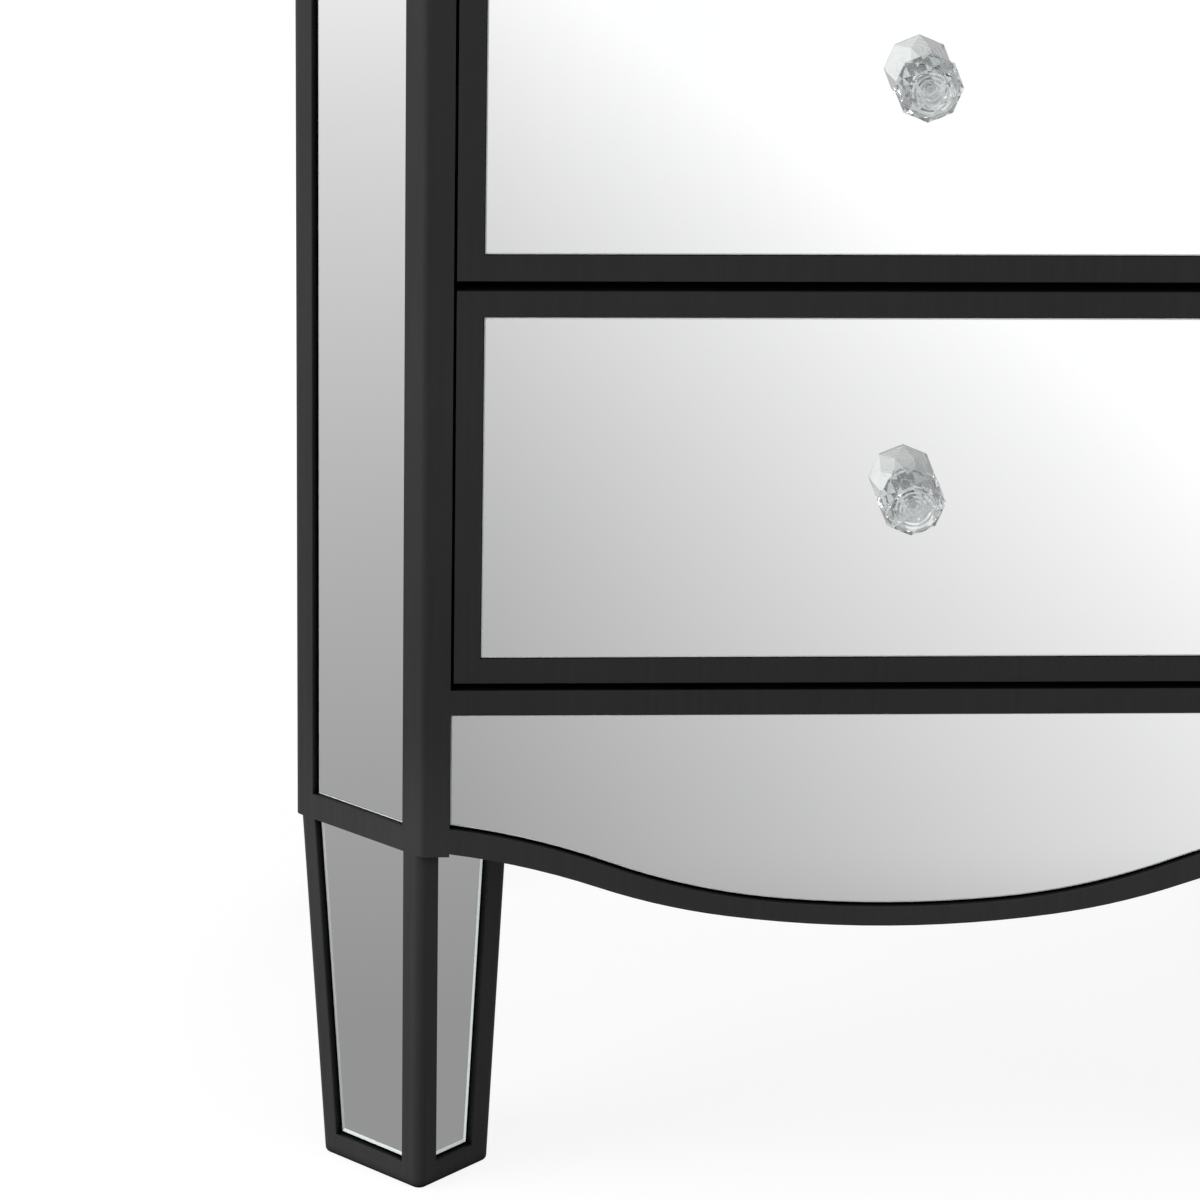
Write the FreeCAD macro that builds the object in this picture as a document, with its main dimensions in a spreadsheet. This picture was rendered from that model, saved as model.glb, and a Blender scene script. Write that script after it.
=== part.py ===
import FreeCAD, Part
import math
import os

import Sketcher
from FreeCAD import Placement, Rotation, Vector

# Two-drawer mirrored nightstand with canted front corners, in millimetres.
# +Z is up, the front faces -Y, and the origin is on the floor under the middle of the whole box.

doc = FreeCAD.newDocument("MirroredNightstand")
sheet = doc.addObject("Spreadsheet::Sheet", "dims")

DIMENSIONS = {
    # Case outline
    "front_width": 407.0,
    "cant_width": 75.0,
    "depth": 380.0,
    "leg_height": 158.2,
    "board_thickness": 16.0,
    "stile_width": 12.0,
    "case_border": 11.5,
    "cant_front_border": 11.7,
    "cant_rear_border": 9.4,
    "arris_radius": 4.0,
    "edge_ease": 0.3,
    "bottom_thickness": 12.0,
    "back_thickness": 5.0,
    "back_reveal": 2.0,
    "liner_thickness": 15.0,
    # Apron with its ogee lower edge
    "apron_height": 76.1,
    "apron_rail": 11.4,
    "apron_drop": 33.1,
    "apron_lift": 1.4,
    "apron_band_centre": 8.8,
    "apron_band_end": 11.4,
    "apron_turn": 127.5,
    "apron_seat_turn": 122.5,
    "apron_centre_radius": 510.0,
    "apron_haunch_radius": 290.0,
    "apron_shoulder_radius": 330.0,
    # Top
    "top_rail": 11.4,
    "top_thickness": 15.0,
    "top_overhang": 4.0,
    "top_border": 20.0,
    # Mirror plates
    "mirror_thickness": 3.0,
    "mirror_setback": 0.7,
    "deep_setback": 2.2,
    "mirror_clearance": 0.3,
    "far_clearance": 1.5,
    "low_clearance": 1.3,
    "mirror_bevel_width": 0.6,
    "mirror_bevel_depth": 0.2,
    "leg_bevel_width": 2.0,
    "leg_bevel_depth": 0.4,
    # Front legs, turned with the canted corners
    "leg_top_outer": 74.5,
    "leg_top_inner": 57.0,
    "leg_foot_outer": 60.3,
    "leg_foot_inner": 45.9,
    "leg_border": 11.0,
    "leg_far_outer": 10.1,
    "leg_far_inner": 12.9,
    "leg_foot_border": 11.0,
    "leg_arris_radius": 4.5,
    "leg_foot_radius": 2.5,
    # Rear legs
    "rear_leg_top": 45.0,
    "rear_leg_foot": 34.0,
    "rear_leg_inset": 2.5,
    # Leg bolts
    "leg_bolt_radius": 4.0,
    "leg_bolt_head_radius": 8.0,
    "leg_bolt_head": 5.0,
    "leg_bolt_reach": 35.0,
    "leg_bolt_gap": 1.0,
    # Back panel screws
    "screw_radius": 1.75,
    "screw_reach": 18.0,
    "screw_head_radius": 3.8,
    "screw_head": 2.0,
    "screw_margin": 40.0,
    # Drawers
    "drawer_front_height": 172.3,
    "drawer_gap_below": 3.1,
    "drawer_gap_between": 4.1,
    "drawer_gap_above": 3.0,
    "drawer_gap_side": 1.3,
    "drawer_border": 11.2,
    "drawer_box_length": 310.0,
    "drawer_side_thickness": 12.0,
    "drawer_side_height": 120.0,
    "drawer_side_lift": 24.0,
    "drawer_bottom_thickness": 5.0,
    "drawer_bottom_lift": 8.0,
    "groove_depth": 6.0,
    "groove_clearance": 0.2,
    # Telescopic slides
    "slide_width": 12.7,
    "slide_height": 35.0,
    "slide_metal": 1.2,
    "slide_clearance": 0.3,
    "slide_length": 300.0,
    "slide_setback": 4.0,
    "slide_lift": 60.0,
    # Knobs
    "knob_base_height": 6.0,
    "knob_base_radius": 7.5,
    "knob_neck_radius": 6.6,
    "knob_girdle_radius": 14.4,
    "knob_girdle_height": 11.5,
    "knob_table_radius": 10.2,
    "knob_height": 20.5,
    "knob_bolt_radius": 2.0,
    "knob_bolt_reach": 10.0,
    "knob_bolt_head_radius": 4.2,
    "knob_bolt_head": 2.5,
    "bolt_clearance": 0.2,
}

for row, (alias, size) in enumerate(DIMENSIONS.items(), start=1):
    sheet.set(f"A{row}", alias)
    sheet.set(f"B{row}", str(size))
    sheet.setAlias(f"B{row}", alias)
doc.recompute()

# Named lengths worked out from the driving dimensions
half_front = "(dims.front_width / 2)"
cant_run = "(dims.cant_width * sqrt(0.5))"
half_width = f"({half_front} + {cant_run})"
mitre = "(dims.board_thickness * (sqrt(2) - 1))"
knob_reach = "(dims.knob_base_height + dims.knob_height - dims.mirror_setback)"
front = f"(({knob_reach} - dims.depth - dims.screw_head) / 2)"
back = f"({front} + dims.depth)"
back_inside = f"({back} - dims.back_thickness)"
case_low = "dims.leg_height"
apron_low = "(dims.leg_height - dims.apron_drop)"
rail_top = "(dims.leg_height + dims.apron_height)"
lower_drawer_low = f"({rail_top} + dims.drawer_gap_below)"
upper_drawer_low = f"({lower_drawer_low} + dims.drawer_front_height + dims.drawer_gap_between)"
opening_top = f"({upper_drawer_low} + dims.drawer_front_height + dims.drawer_gap_above)"
case_top = f"({opening_top} + dims.top_rail)"
opening_half = f"({half_front} - dims.stile_width)"
glass_low = f"({case_low} + dims.case_border)"
glass_high = f"({case_top} - dims.case_border)"
shallow_set = "dims.mirror_setback"
deep_set = "dims.deep_setback"
clear = "dims.mirror_clearance"
far_clear = "dims.far_clearance"
low_clear = "dims.low_clearance"

# Two places closer than this, in millimetres, count as one
TOUCHING = 0.01
KNOB_SIDES = 8
CANT_TURN = 45
# Halvings of the search for the angle at which the arcs of the apron meet
HALVINGS = 60

parts = []


def keep(obj, label):
    """Give a finished sub-part the name of its file."""
    obj.Label = label
    parts.append(obj)
    return obj


def value(obj, expression):
    return float(obj.evalExpression(expression))


def bind(obj, **expressions):
    for prop, expression in expressions.items():
        obj.setExpression(prop, expression)


def place(obj, x, y, z, rotation=Rotation()):
    """Turn an object and tie its place to the driving dimensions."""
    obj.Placement = Placement(Vector(), rotation)
    for axis, expression in zip("xyz", (x, y, z)):
        obj.setExpression(f"Placement.Base.{axis}", expression)


def facing(turn):
    """Local X right, Y up and Z out of an upright face that is turned about the vertical."""
    return Rotation(Vector(0, 0, 1), turn) * Rotation(Vector(1, 0, 0), 90)


FRONT = facing(0)
LEFT_CANT = facing(-CANT_TURN)
LEFT_SIDE = facing(-90)


# Solid primitives

def box(name, length, width, height, x, y, z):
    obj = doc.addObject("Part::Box", name)
    bind(obj, Length=length, Width=width, Height=height)
    place(obj, x, y, z)
    return obj


def cylinder(name, radius, height, x, y, z, rotation=Rotation()):
    obj = doc.addObject("Part::Cylinder", name)
    bind(obj, Radius=radius, Height=height)
    place(obj, x, y, z, rotation)
    return obj


def cut(name, base, tool):
    obj = doc.addObject("Part::Cut", name)
    obj.Base = base
    obj.Tool = tool
    return obj


def fuse(name, base, tool):
    obj = doc.addObject("Part::Fuse", name)
    obj.Base = base
    obj.Tool = tool
    return obj


def group(name, members):
    obj = doc.addObject("Part::Compound", name)
    obj.Links = members
    return obj


def mirrored(name, source):
    """The right-hand twin of a left-hand piece."""
    obj = doc.addObject("Part::Mirroring", name)
    obj.Source = source
    obj.Normal = Vector(1, 0, 0)
    obj.Base = Vector(0, 0, 0)
    return obj


# Sketches and features of a body

def new_body(name):
    return doc.addObject("PartDesign::Body", name)


def new_sketch(body, name, role="XY_Plane", lift=None, turn=Rotation()):
    sketch = body.newObject("Sketcher::SketchObject", name)
    plane = next(item for item in body.Origin.OriginFeatures if item.Role == role)
    sketch.AttachmentSupport = [(plane, "")]
    sketch.MapMode = "FlatFace"
    sketch.AttachmentOffset = Placement(Vector(), turn)
    if lift:
        sketch.setExpression("AttachmentOffset.Base.z", lift)
    return sketch


def pin_point(sketch, geometry, end, x, y):
    """Hold one end of a line or arc at a place given by two expressions."""
    for kind, expression in (("DistanceX", x), ("DistanceY", y)):
        datum = value(sketch, expression)
        index = sketch.addConstraint(Sketcher.Constraint(kind, -1, 1, geometry, end, datum))
        sketch.setExpression(f"Constraints[{index}]", expression)


def draw_polygon(sketch, points):
    """Closed outline of straight lines whose corners follow expressions."""
    corners = [Vector(value(sketch, x), value(sketch, y), 0) for x, y in points]
    count = len(corners)
    for index in range(count):
        sketch.addGeometry(Part.LineSegment(corners[index], corners[(index + 1) % count]), False)
    for index in range(count):
        sketch.addConstraint(Sketcher.Constraint("Coincident", index, 2, (index + 1) % count, 1))
    for index, (x, y) in enumerate(points):
        pin_point(sketch, index, 1, x, y)


def rectangle(left, right, low, high):
    return [(left, low), (right, low), (right, high), (left, high)]


def pad(body, sketch, length, into=False):
    """Raise a sketch out of its plane, or sink it into the board behind the plane."""
    feature = body.newObject("PartDesign::Pad", f"{body.Name}_pad")
    feature.Profile = sketch
    feature.Reversed = into
    feature.setExpression("Length", length)
    doc.recompute()
    return feature


def pocket(body, sketch, depth, reverse=False):
    before = body.Shape.Volume
    feature = body.newObject("PartDesign::Pocket", f"{sketch.Name}_pocket")
    feature.Profile = sketch
    feature.Reversed = reverse
    feature.setExpression("Length", depth)
    doc.recompute()
    if not feature.Shape.Volume < before:
        raise RuntimeError(f"{feature.Name} removed nothing")
    return feature


def chamfer(body, base, names, size):
    feature = body.newObject("PartDesign::Chamfer", f"{base.Name}_edge")
    feature.Base = (base, names)
    feature.setExpression("Size", size)
    doc.recompute()
    return feature


def seat_for_mirror(body, sketch, setback=shallow_set, reverse=False):
    """Shallow seat that takes a mirror plate, with its rim eased where it meets the face."""
    seat = pocket(body, sketch, f"dims.mirror_thickness + {setback}", reverse)
    rim = [edge.CenterOfMass for edge in sketch.Shape.Edges]
    names = [f"Edge{number}" for number, edge in enumerate(seat.Shape.Edges, 1)
             if any((edge.CenterOfMass - middle).Length < TOUCHING for middle in rim)]
    return chamfer(body, seat, names, "dims.edge_ease")


def bore(body, name, x, y, radius, depth, lift=None):
    """Round hole through a plate, square to the sketch plane."""
    sketch = new_sketch(body, name, lift=lift)
    centre = Vector(value(sketch, x), value(sketch, y), 0)
    sketch.addGeometry(Part.Circle(centre, Vector(0, 0, 1), value(sketch, radius)), False)
    pin_point(sketch, 0, 3, x, y)
    index = sketch.addConstraint(Sketcher.Constraint("Radius", 0, value(sketch, radius)))
    sketch.setExpression(f"Constraints[{index}]", radius)
    return pocket(body, sketch, depth)


def outer_face(feature):
    """Name of the face that looks along local +Z, furthest out."""
    numbered = enumerate(feature.Shape.Faces, 1)
    faces = [(face.CenterOfMass.z, f"Face{number}") for number, face in numbered
             if face.normalAt(0, 0).z > 0.99]
    return max(faces)[1]


def ease(body, base, size):
    """Chamfer all round the outer face."""
    return chamfer(body, base, [outer_face(base)], size)


def upright(edge):
    return abs(edge.Vertexes[0].Z - edge.Vertexes[-1].Z) > TOUCHING


def on_floor(edge):
    return edge.BoundBox.ZMax < TOUCHING


def round_edges(body, base, wanted, radius):
    """Fillet the edges that the test picks out."""
    names = [f"Edge{number}" for number, edge in enumerate(base.Shape.Edges, 1) if wanted(edge)]
    feature = body.newObject("PartDesign::Fillet", f"{body.Name}_round")
    feature.Base = (base, names)
    feature.setExpression("Radius", radius)
    doc.recompute()
    return feature


def mirror_plate(name, draw, face="0", setback=shallow_set, bevel="mirror_bevel", hole=None):
    """Mirror glass with a flat ground bevel round its face, set back behind the face of its frame."""
    body = new_body(name)
    surface = f"{face} - {setback}"
    outline = new_sketch(body, f"{name}_outline", lift=f"{surface} - dims.{bevel}_depth")
    draw(outline)
    pad(body, outline, f"dims.mirror_thickness - dims.{bevel}_depth", into=True)
    rim = pad(body, outline, f"dims.{bevel}_depth")
    rim.setExpression("TaperAngle", f"-atan(dims.{bevel}_width / dims.{bevel}_depth)")
    doc.recompute()
    if hole:
        bore(body, f"{name}_hole", *hole, "dims.mirror_thickness", surface)
    return body


def polygon_drawer(points):
    return lambda sketch: draw_polygon(sketch, points)


# Top board and its mirror

def canted_outline(offset, rear):
    """Plan of the case with canted front corners, moved outwards by an offset."""
    spread = f"({offset}) * (sqrt(2) - 1)"
    left = [
        (f"-{half_width} - ({offset})", rear),
        (f"-{half_width} - ({offset})", f"{front} + {cant_run} - {spread}"),
        (f"-{half_front} - {spread}", f"{front} - ({offset})"),
    ]
    right = [(f"-({x})", y) for x, y in reversed(left)]
    return left + right


def make_top():
    board = new_body("top_board")
    plan = new_sketch(board, "top_plan")
    draw_polygon(plan, canted_outline("dims.top_overhang", back))
    ease(board, pad(board, plan, "dims.top_thickness"), "dims.edge_ease")
    inset = "dims.top_overhang - dims.top_border"
    seat = new_sketch(board, "top_seat", lift="dims.top_thickness")
    draw_polygon(seat, canted_outline(inset, f"{back} - dims.top_border"))
    seat_for_mirror(board, seat)
    place(board, "0", "0", case_top)
    keep(board, "top_board")
    plate = canted_outline(f"{inset} - {clear}", f"{back} - dims.top_border - {clear}")
    glass = mirror_plate("top_mirror", polygon_drawer(plate), face="dims.top_thickness")
    place(glass, "0", "0", case_top)
    keep(glass, "top_mirror")


# Canted corner posts, each with the front stile and the side stile in one piece

def make_corner_posts():
    post = new_body("left_corner_post")
    thick = "dims.board_thickness"
    section = new_sketch(post, "post_section")
    draw_polygon(section, [
        ("0", "0"),
        ("dims.stile_width", "0"),
        ("dims.stile_width", thick),
        (mitre, thick),
        (f"{thick} - {cant_run}", f"{cant_run} + {mitre}"),
        (f"{thick} - {cant_run}", f"{cant_run} + dims.stile_width"),
        (f"-{cant_run}", f"{cant_run} + dims.stile_width"),
        (f"-{cant_run}", cant_run),
    ])
    column = pad(post, section, f"{case_top} - {case_low}")
    run = value(post, cant_run)
    arrises = [Vector(0, 0, 0), Vector(-run, run, 0)]

    def on_arris(edge):
        middle = edge.CenterOfMass
        return upright(edge) and any(math.hypot(middle.x - a.x, middle.y - a.y) < TOUCHING for a in arrises)

    round_edges(post, column, on_arris, "dims.arris_radius")
    seat = new_sketch(post, "post_seat", "XZ_Plane", turn=Rotation(Vector(0, 1, 0), -CANT_TURN))
    rear_edge = "(dims.cant_width - dims.cant_rear_border)"
    front_edge = "dims.cant_front_border"
    draw_polygon(seat, rectangle(f"-{rear_edge}", f"-{front_edge}", "dims.case_border",
                                 f"{glass_high} - {case_low}"))
    seat_for_mirror(post, seat, deep_set)
    place(post, f"-{half_front}", front, case_low)
    keep(post, "left_corner_post")
    keep(mirrored("right_corner_post", post), "right_corner_post")

    plate = rectangle(f"{far_clear} - {rear_edge}", f"-{front_edge} - {clear}",
                      f"{glass_low} + {clear}", f"{glass_high} - {clear}")
    glass = mirror_plate("left_corner_mirror", polygon_drawer(plate), setback=deep_set)
    place(glass, f"-{half_front}", front, "0", LEFT_CANT)
    keep(glass, "left_corner_mirror")
    keep(mirrored("right_corner_mirror", glass), "right_corner_mirror")


# Side panels, screwed through the back panel

def make_back_screws():
    """Pan-head screws that hold the back panel to the rear edges of the sides."""
    screws = []
    rows = 4
    inward = facing(180)
    for side in (-1, 1):
        x = f"{side} * ({half_width} - dims.board_thickness / 2)"
        for row in range(rows):
            span = f"({case_top} - {case_low} - 2 * dims.screw_margin)"
            z = f"{case_low} + dims.screw_margin + {span} * {row} / {rows - 1}"
            tag = f"{'left' if side < 0 else 'right'}_{row}"
            shank = cylinder(f"screw_shank_{tag}", "dims.screw_radius", "dims.screw_reach",
                             x, f"{back} - dims.screw_reach", z, inward)
            head = cylinder(f"screw_head_{tag}", "dims.screw_head_radius", "dims.screw_head",
                            x, back, z, inward)
            screws.append(fuse(f"screw_{tag}", shank, head))
    return keep(group("back_panel_screws", screws), "back_panel_screws")


def make_sides_and_back(screws):
    length = f"({back_inside} - {front} - {cant_run} - dims.stile_width)"
    board = new_body("left_side_board")
    outline = new_sketch(board, "side_outline")
    draw_polygon(outline, rectangle("0", length, case_low, case_top))
    pad(board, outline, "dims.board_thickness", into=True)
    seat = new_sketch(board, "side_seat")
    draw_polygon(seat, rectangle("dims.case_border", length, glass_low, glass_high))
    seat_for_mirror(board, seat)
    place(board, f"-{half_width}", back_inside, "0", LEFT_SIDE)
    panel = keep(cut("left_side_panel", board, screws), "left_side_panel")
    keep(mirrored("right_side_panel", panel), "right_side_panel")

    plate = rectangle(f"dims.case_border + {clear}", f"{length} - {clear}",
                      f"{glass_low} + {clear}", f"{glass_high} - {clear}")
    glass = mirror_plate("left_side_mirror", polygon_drawer(plate))
    place(glass, f"-{half_width}", back_inside, "0", LEFT_SIDE)
    keep(glass, "left_side_mirror")
    keep(mirrored("right_side_mirror", glass), "right_side_mirror")

    half = f"({half_width} - dims.back_reveal)"
    sheet_back = box("back_sheet", f"2 * {half}", "dims.back_thickness", f"{case_top} - {case_low}",
                     f"-{half}", back_inside, case_low)
    keep(cut("back_panel", sheet_back, screws), "back_panel")


# Apron with an ogee lower edge, and the rail over the drawers

def draw_ogee_panel(sketch, half, high, low, end, turn_at):
    """Panel with a level top and upright ends over a lower edge of five tangent arcs."""
    read = {name: value(sketch, expression) for name, expression in {
        "half": half, "high": high, "low": low, "end": end, "turn": turn_at,
        "centre": "dims.apron_centre_radius", "haunch": "dims.apron_haunch_radius",
        "shoulder": "dims.apron_shoulder_radius"}.items()}
    centre, haunch, shoulder = read["centre"], read["haunch"], read["shoulder"]

    def chain(join):
        """Slope angles and points along the curve when the centre arc ends at one angle."""
        sine = math.sin(join) + (read["turn"] - centre * math.sin(join)) / haunch
        turn = math.asin(sine)
        rise = centre * (1 - math.cos(join)) + haunch * (math.cos(join) - math.cos(turn))
        stop = math.asin(math.sin(turn) - (read["half"] - read["turn"]) / shoulder)
        top = rise + shoulder * (math.cos(stop) - math.cos(turn))
        return turn, rise, top

    wanted = read["end"] - read["low"]
    shallow = 0.0
    steep = math.asin(min(1.0, read["turn"] / centre)) * 0.999
    for _ in range(HALVINGS):
        join = (shallow + steep) / 2
        if chain(join)[2] > wanted:
            shallow = join
        else:
            steep = join
    turn, rise, _ = chain(join)

    join_point = Vector(centre * math.sin(join), read["low"] + centre * (1 - math.cos(join)), 0)
    turn_point = Vector(read["turn"], read["low"] + rise, 0)
    end_point = Vector(read["half"], read["end"], 0)
    haunch_middle = join_point + Vector(-math.sin(join), math.cos(join), 0) * haunch
    shoulder_middle = turn_point + Vector(math.sin(turn), -math.cos(turn), 0) * shoulder

    def between(middle, radius, first, last):
        """Point on an arc half way between two of its points."""
        way = ((first - middle) + (last - middle)).normalize()
        return middle + way * radius

    def flip(point):
        return Vector(-point.x, point.y, 0)

    haunch_mid = between(haunch_middle, haunch, join_point, turn_point)
    shoulder_mid = between(shoulder_middle, shoulder, turn_point, end_point)
    low_point = Vector(0, read["low"], 0)
    arcs = [
        (flip(end_point), flip(shoulder_mid), flip(turn_point)),
        (flip(turn_point), flip(haunch_mid), flip(join_point)),
        (flip(join_point), low_point, join_point),
        (join_point, haunch_mid, turn_point),
        (turn_point, shoulder_mid, end_point),
    ]
    top_right = Vector(read["half"], read["high"], 0)
    lines = [(end_point, top_right), (top_right, flip(top_right)), (flip(top_right), flip(end_point))]
    sketch.addGeometry([Part.Arc(*arc) for arc in arcs], False)
    sketch.addGeometry([Part.LineSegment(*line) for line in lines], False)

    def end_at(geometry, point):
        """Number of the end of a curve that lies at a point."""
        return 1 if (sketch.getPoint(geometry, 1) - point).Length < TOUCHING else 2

    for index, arc in enumerate(arcs[:-1]):
        meeting = arc[2]
        sketch.addConstraint(Sketcher.Constraint(
            "Tangent", index, end_at(index, meeting), index + 1, end_at(index + 1, meeting)))
    loop = [(4, end_point, 5), (5, top_right, 6), (6, flip(top_right), 7), (7, flip(end_point), 0)]
    for first, meeting, second in loop:
        sketch.addConstraint(Sketcher.Constraint(
            "Coincident", first, end_at(first, meeting), second, end_at(second, meeting)))
    radii = ["shoulder", "haunch", "centre", "haunch", "shoulder"]
    for index, name in enumerate(radii):
        number = sketch.addConstraint(Sketcher.Constraint("Radius", index, read[name]))
        sketch.setExpression(f"Constraints[{number}]", f"dims.apron_{name}_radius")
    pin_point(sketch, 2, 3, "0", f"{low} + dims.apron_centre_radius")
    pin_point(sketch, 5, 1, half, end)
    pin_point(sketch, 5, 2, half, high)
    pin_point(sketch, 7, 1, f"-({half})", high)
    pin_point(sketch, 7, 2, f"-({half})", end)
    for index, side in ((0, -1), (4, 1)):
        spot = flip(turn_point) if side < 0 else turn_point
        number = sketch.addConstraint(Sketcher.Constraint(
            "DistanceX", -1, 1, index, end_at(index, spot), side * read["turn"]))
        sketch.setExpression(f"Constraints[{number}]", f"{side} * {turn_at}")


def make_apron():
    board = new_body("apron")
    outline = new_sketch(board, "apron_outline")
    lift = f"{case_low} + dims.apron_lift"
    draw_ogee_panel(outline, opening_half, rail_top, apron_low, lift, "dims.apron_turn")
    pad(board, outline, "dims.board_thickness", into=True)
    seat_high = f"{rail_top} - dims.apron_rail"
    seat_low = f"{apron_low} + dims.apron_band_centre"
    seat_end = f"{lift} + dims.apron_band_end"
    seat_turn = "dims.apron_seat_turn"
    seat = new_sketch(board, "apron_seat")
    draw_ogee_panel(seat, opening_half, seat_high, seat_low, seat_end, seat_turn)
    seat_for_mirror(board, seat, deep_set)
    place(board, "0", front, "0", FRONT)
    keep(board, "apron")

    def draw_plate(sketch):
        draw_ogee_panel(sketch, f"{opening_half} - {clear}", f"{seat_high} - {clear}",
                        f"{seat_low} + {low_clear}", f"{seat_end} + {low_clear}", seat_turn)

    glass = mirror_plate("apron_mirror", draw_plate, setback=deep_set)
    place(glass, "0", front, "0", FRONT)
    keep(glass, "apron_mirror")


def make_carcass():
    """Boards that the drawers run in: rail over the drawers, floor and two inner liners."""
    rail = box("top_rail", f"2 * {opening_half}", "dims.board_thickness", "dims.top_rail",
               f"-{opening_half}", front, opening_top)
    keep(rail, "top_rail")

    floor = new_body("case_floor")
    plan = new_sketch(floor, "floor_plan")
    inner = "-dims.board_thickness"
    draw_polygon(plan, canted_outline(inner, back_inside))
    pad(floor, plan, "dims.bottom_thickness")
    place(floor, "0", "0", case_low)

    standing = f"{case_low} + dims.bottom_thickness"
    liner_front = f"({front} + dims.board_thickness * sqrt(2) - dims.stile_width + dims.liner_thickness)"
    liner = box("left_liner", "dims.liner_thickness", f"{back_inside} - {liner_front}",
                f"{case_top} - ({standing})",
                f"-{opening_half} - dims.liner_thickness", liner_front, standing)
    keep(liner, "left_liner")
    keep(mirrored("right_liner", liner), "right_liner")
    return floor


# Legs and the bolts that hold them to the case floor

def make_leg_bolts():
    """One bolt down through the case floor into each leg."""
    room = "(dims.leg_bolt_head_radius + dims.leg_bolt_gap)"
    across = f"(dims.board_thickness + {room})"
    aside = f"(dims.liner_thickness - dims.stile_width + {room})"
    spots = {
        "front": (f"({half_front} + {aside})", f"{front} + {across} * sqrt(2) + {aside}"),
        "rear": (f"({half_width} - dims.board_thickness - {room})", f"{back} - dims.rear_leg_top / 2"),
    }
    bolts = []
    for end, (x, y) in spots.items():
        for side, sign in (("left", "-"), ("right", "")):
            tag = f"{end}_{side}"
            seat = f"{case_low} + dims.bottom_thickness"
            shank = cylinder(f"leg_bolt_shank_{tag}", "dims.leg_bolt_radius",
                             "dims.bottom_thickness + dims.leg_bolt_reach",
                             f"{sign}{x}", y, f"{case_low} - dims.leg_bolt_reach")
            head = cylinder(f"leg_bolt_head_{tag}", "dims.leg_bolt_head_radius", "dims.leg_bolt_head",
                            f"{sign}{x}", y, seat)
            bolts.append(fuse(f"leg_bolt_{tag}", shank, head))
    return keep(group("leg_bolts", bolts), "leg_bolts")


def tapered(body, foot, top):
    """Straight taper between two rectangles, each given as its low and high X and Y."""
    wedge = body.newObject("PartDesign::AdditiveWedge", f"{body.Name}_taper")
    wedge.Placement = Placement(Vector(), Rotation(Vector(1, 0, 0), 90))
    bind(wedge, Ymin="0", Ymax="dims.leg_height",
         Xmin=foot[0], Xmax=foot[1], Zmin=f"-({foot[3]})", Zmax=f"-({foot[2]})",
         X2min=top[0], X2max=top[1], Z2min=f"-({top[3]})", Z2max=f"-({top[2]})")
    doc.recompute()
    return wedge


def round_leg(leg, taper):
    """Round the upright edges of a leg, then the edges that it stands on."""
    rounded = round_edges(leg, taper, upright, "dims.leg_arris_radius")
    round_edges(leg, rounded, on_floor, "dims.leg_foot_radius")


def leg_outline(face, near_gap="0", far_gap="0", low_gap="0", overrun="0"):
    """Four corners of a mirror or its seat on a leg face, with the far side along the taper."""
    foot_width, top_width, far_border = (f"dims.leg_{part}_{face}" for part in ("foot", "top", "far"))
    near = f"dims.leg_border + {near_gap}"
    low = f"(dims.leg_foot_border + {low_gap})"
    high = f"(dims.leg_height + {overrun})"
    low_far, high_far = (
        f"{foot_width} + ({top_width} - {foot_width}) * {level} / dims.leg_height - {far_border} - {far_gap}"
        for level in (low, high))
    return [(near, low), (low_far, low), (high_far, high), (near, high)]


def square_off(glass):
    """Cut a leg mirror level at its head, where it meets the case and needs no bevel."""
    strip = new_sketch(glass, f"{glass.Name}_head", lift=f"-{deep_set}")
    reach = "dims.leg_top_outer"
    head = f"dims.leg_height - {clear}"
    draw_polygon(strip, rectangle(f"-{reach}", reach, head, f"{head} + 2 * dims.leg_bevel_width"))
    pocket(glass, strip, "dims.mirror_thickness")


def make_front_legs(bolts):
    """Legs turned 45 degrees under the canted corners, with their front arris upright."""
    turned = Rotation(Vector(0, 0, 1), CANT_TURN)
    leg = new_body("left_front_leg_blank")
    taper = tapered(leg, ("0", "dims.leg_foot_inner", "0", "dims.leg_foot_outer"),
                    ("0", "dims.leg_top_inner", "0", "dims.leg_top_outer"))
    round_leg(leg, taper)
    outer_seat = new_sketch(leg, "leg_outer_seat", "YZ_Plane")
    draw_polygon(outer_seat, leg_outline("outer"))
    seat_for_mirror(leg, outer_seat, deep_set, reverse=True)
    inner_seat = new_sketch(leg, "leg_inner_seat", "XZ_Plane")
    draw_polygon(inner_seat, leg_outline("inner"))
    seat_for_mirror(leg, inner_seat, deep_set)
    place(leg, f"-{half_front}", front, "0", turned)
    drilled = keep(cut("left_front_leg", leg, bolts), "left_front_leg")
    keep(mirrored("right_front_leg", drilled), "right_front_leg")

    for face, side, rotation in (("outer", "-", LEFT_CANT), ("inner", "", facing(CANT_TURN))):
        corners = leg_outline(face, clear, far_clear, low_clear, "dims.leg_bevel_width")
        points = [(f"{side}({along})", up) for along, up in corners]
        name = f"left_leg_{face}_mirror"
        glass = mirror_plate(name, polygon_drawer(points), setback=deep_set, bevel="leg_bevel")
        square_off(glass)
        place(glass, f"-{half_front}", front, "0", rotation)
        keep(glass, name)
        twin = f"right_leg_{face}_mirror"
        keep(mirrored(twin, glass), twin)


def make_rear_legs(bolts):
    leg = new_body("left_rear_leg_blank")
    squares = [(f"-{size} / 2", f"{size} / 2", f"-{size} / 2", f"{size} / 2")
               for size in ("dims.rear_leg_foot", "dims.rear_leg_top")]
    taper = tapered(leg, *squares)
    round_leg(leg, taper)
    place(leg, f"-({half_width} - dims.rear_leg_inset - dims.rear_leg_top / 2)",
          f"{back} - dims.rear_leg_top / 2", "0")
    drilled = keep(cut("left_rear_leg", leg, bolts), "left_rear_leg")
    keep(mirrored("right_rear_leg", drilled), "right_rear_leg")


# Telescopic slides: three nested channels on each side of a drawer

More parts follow.
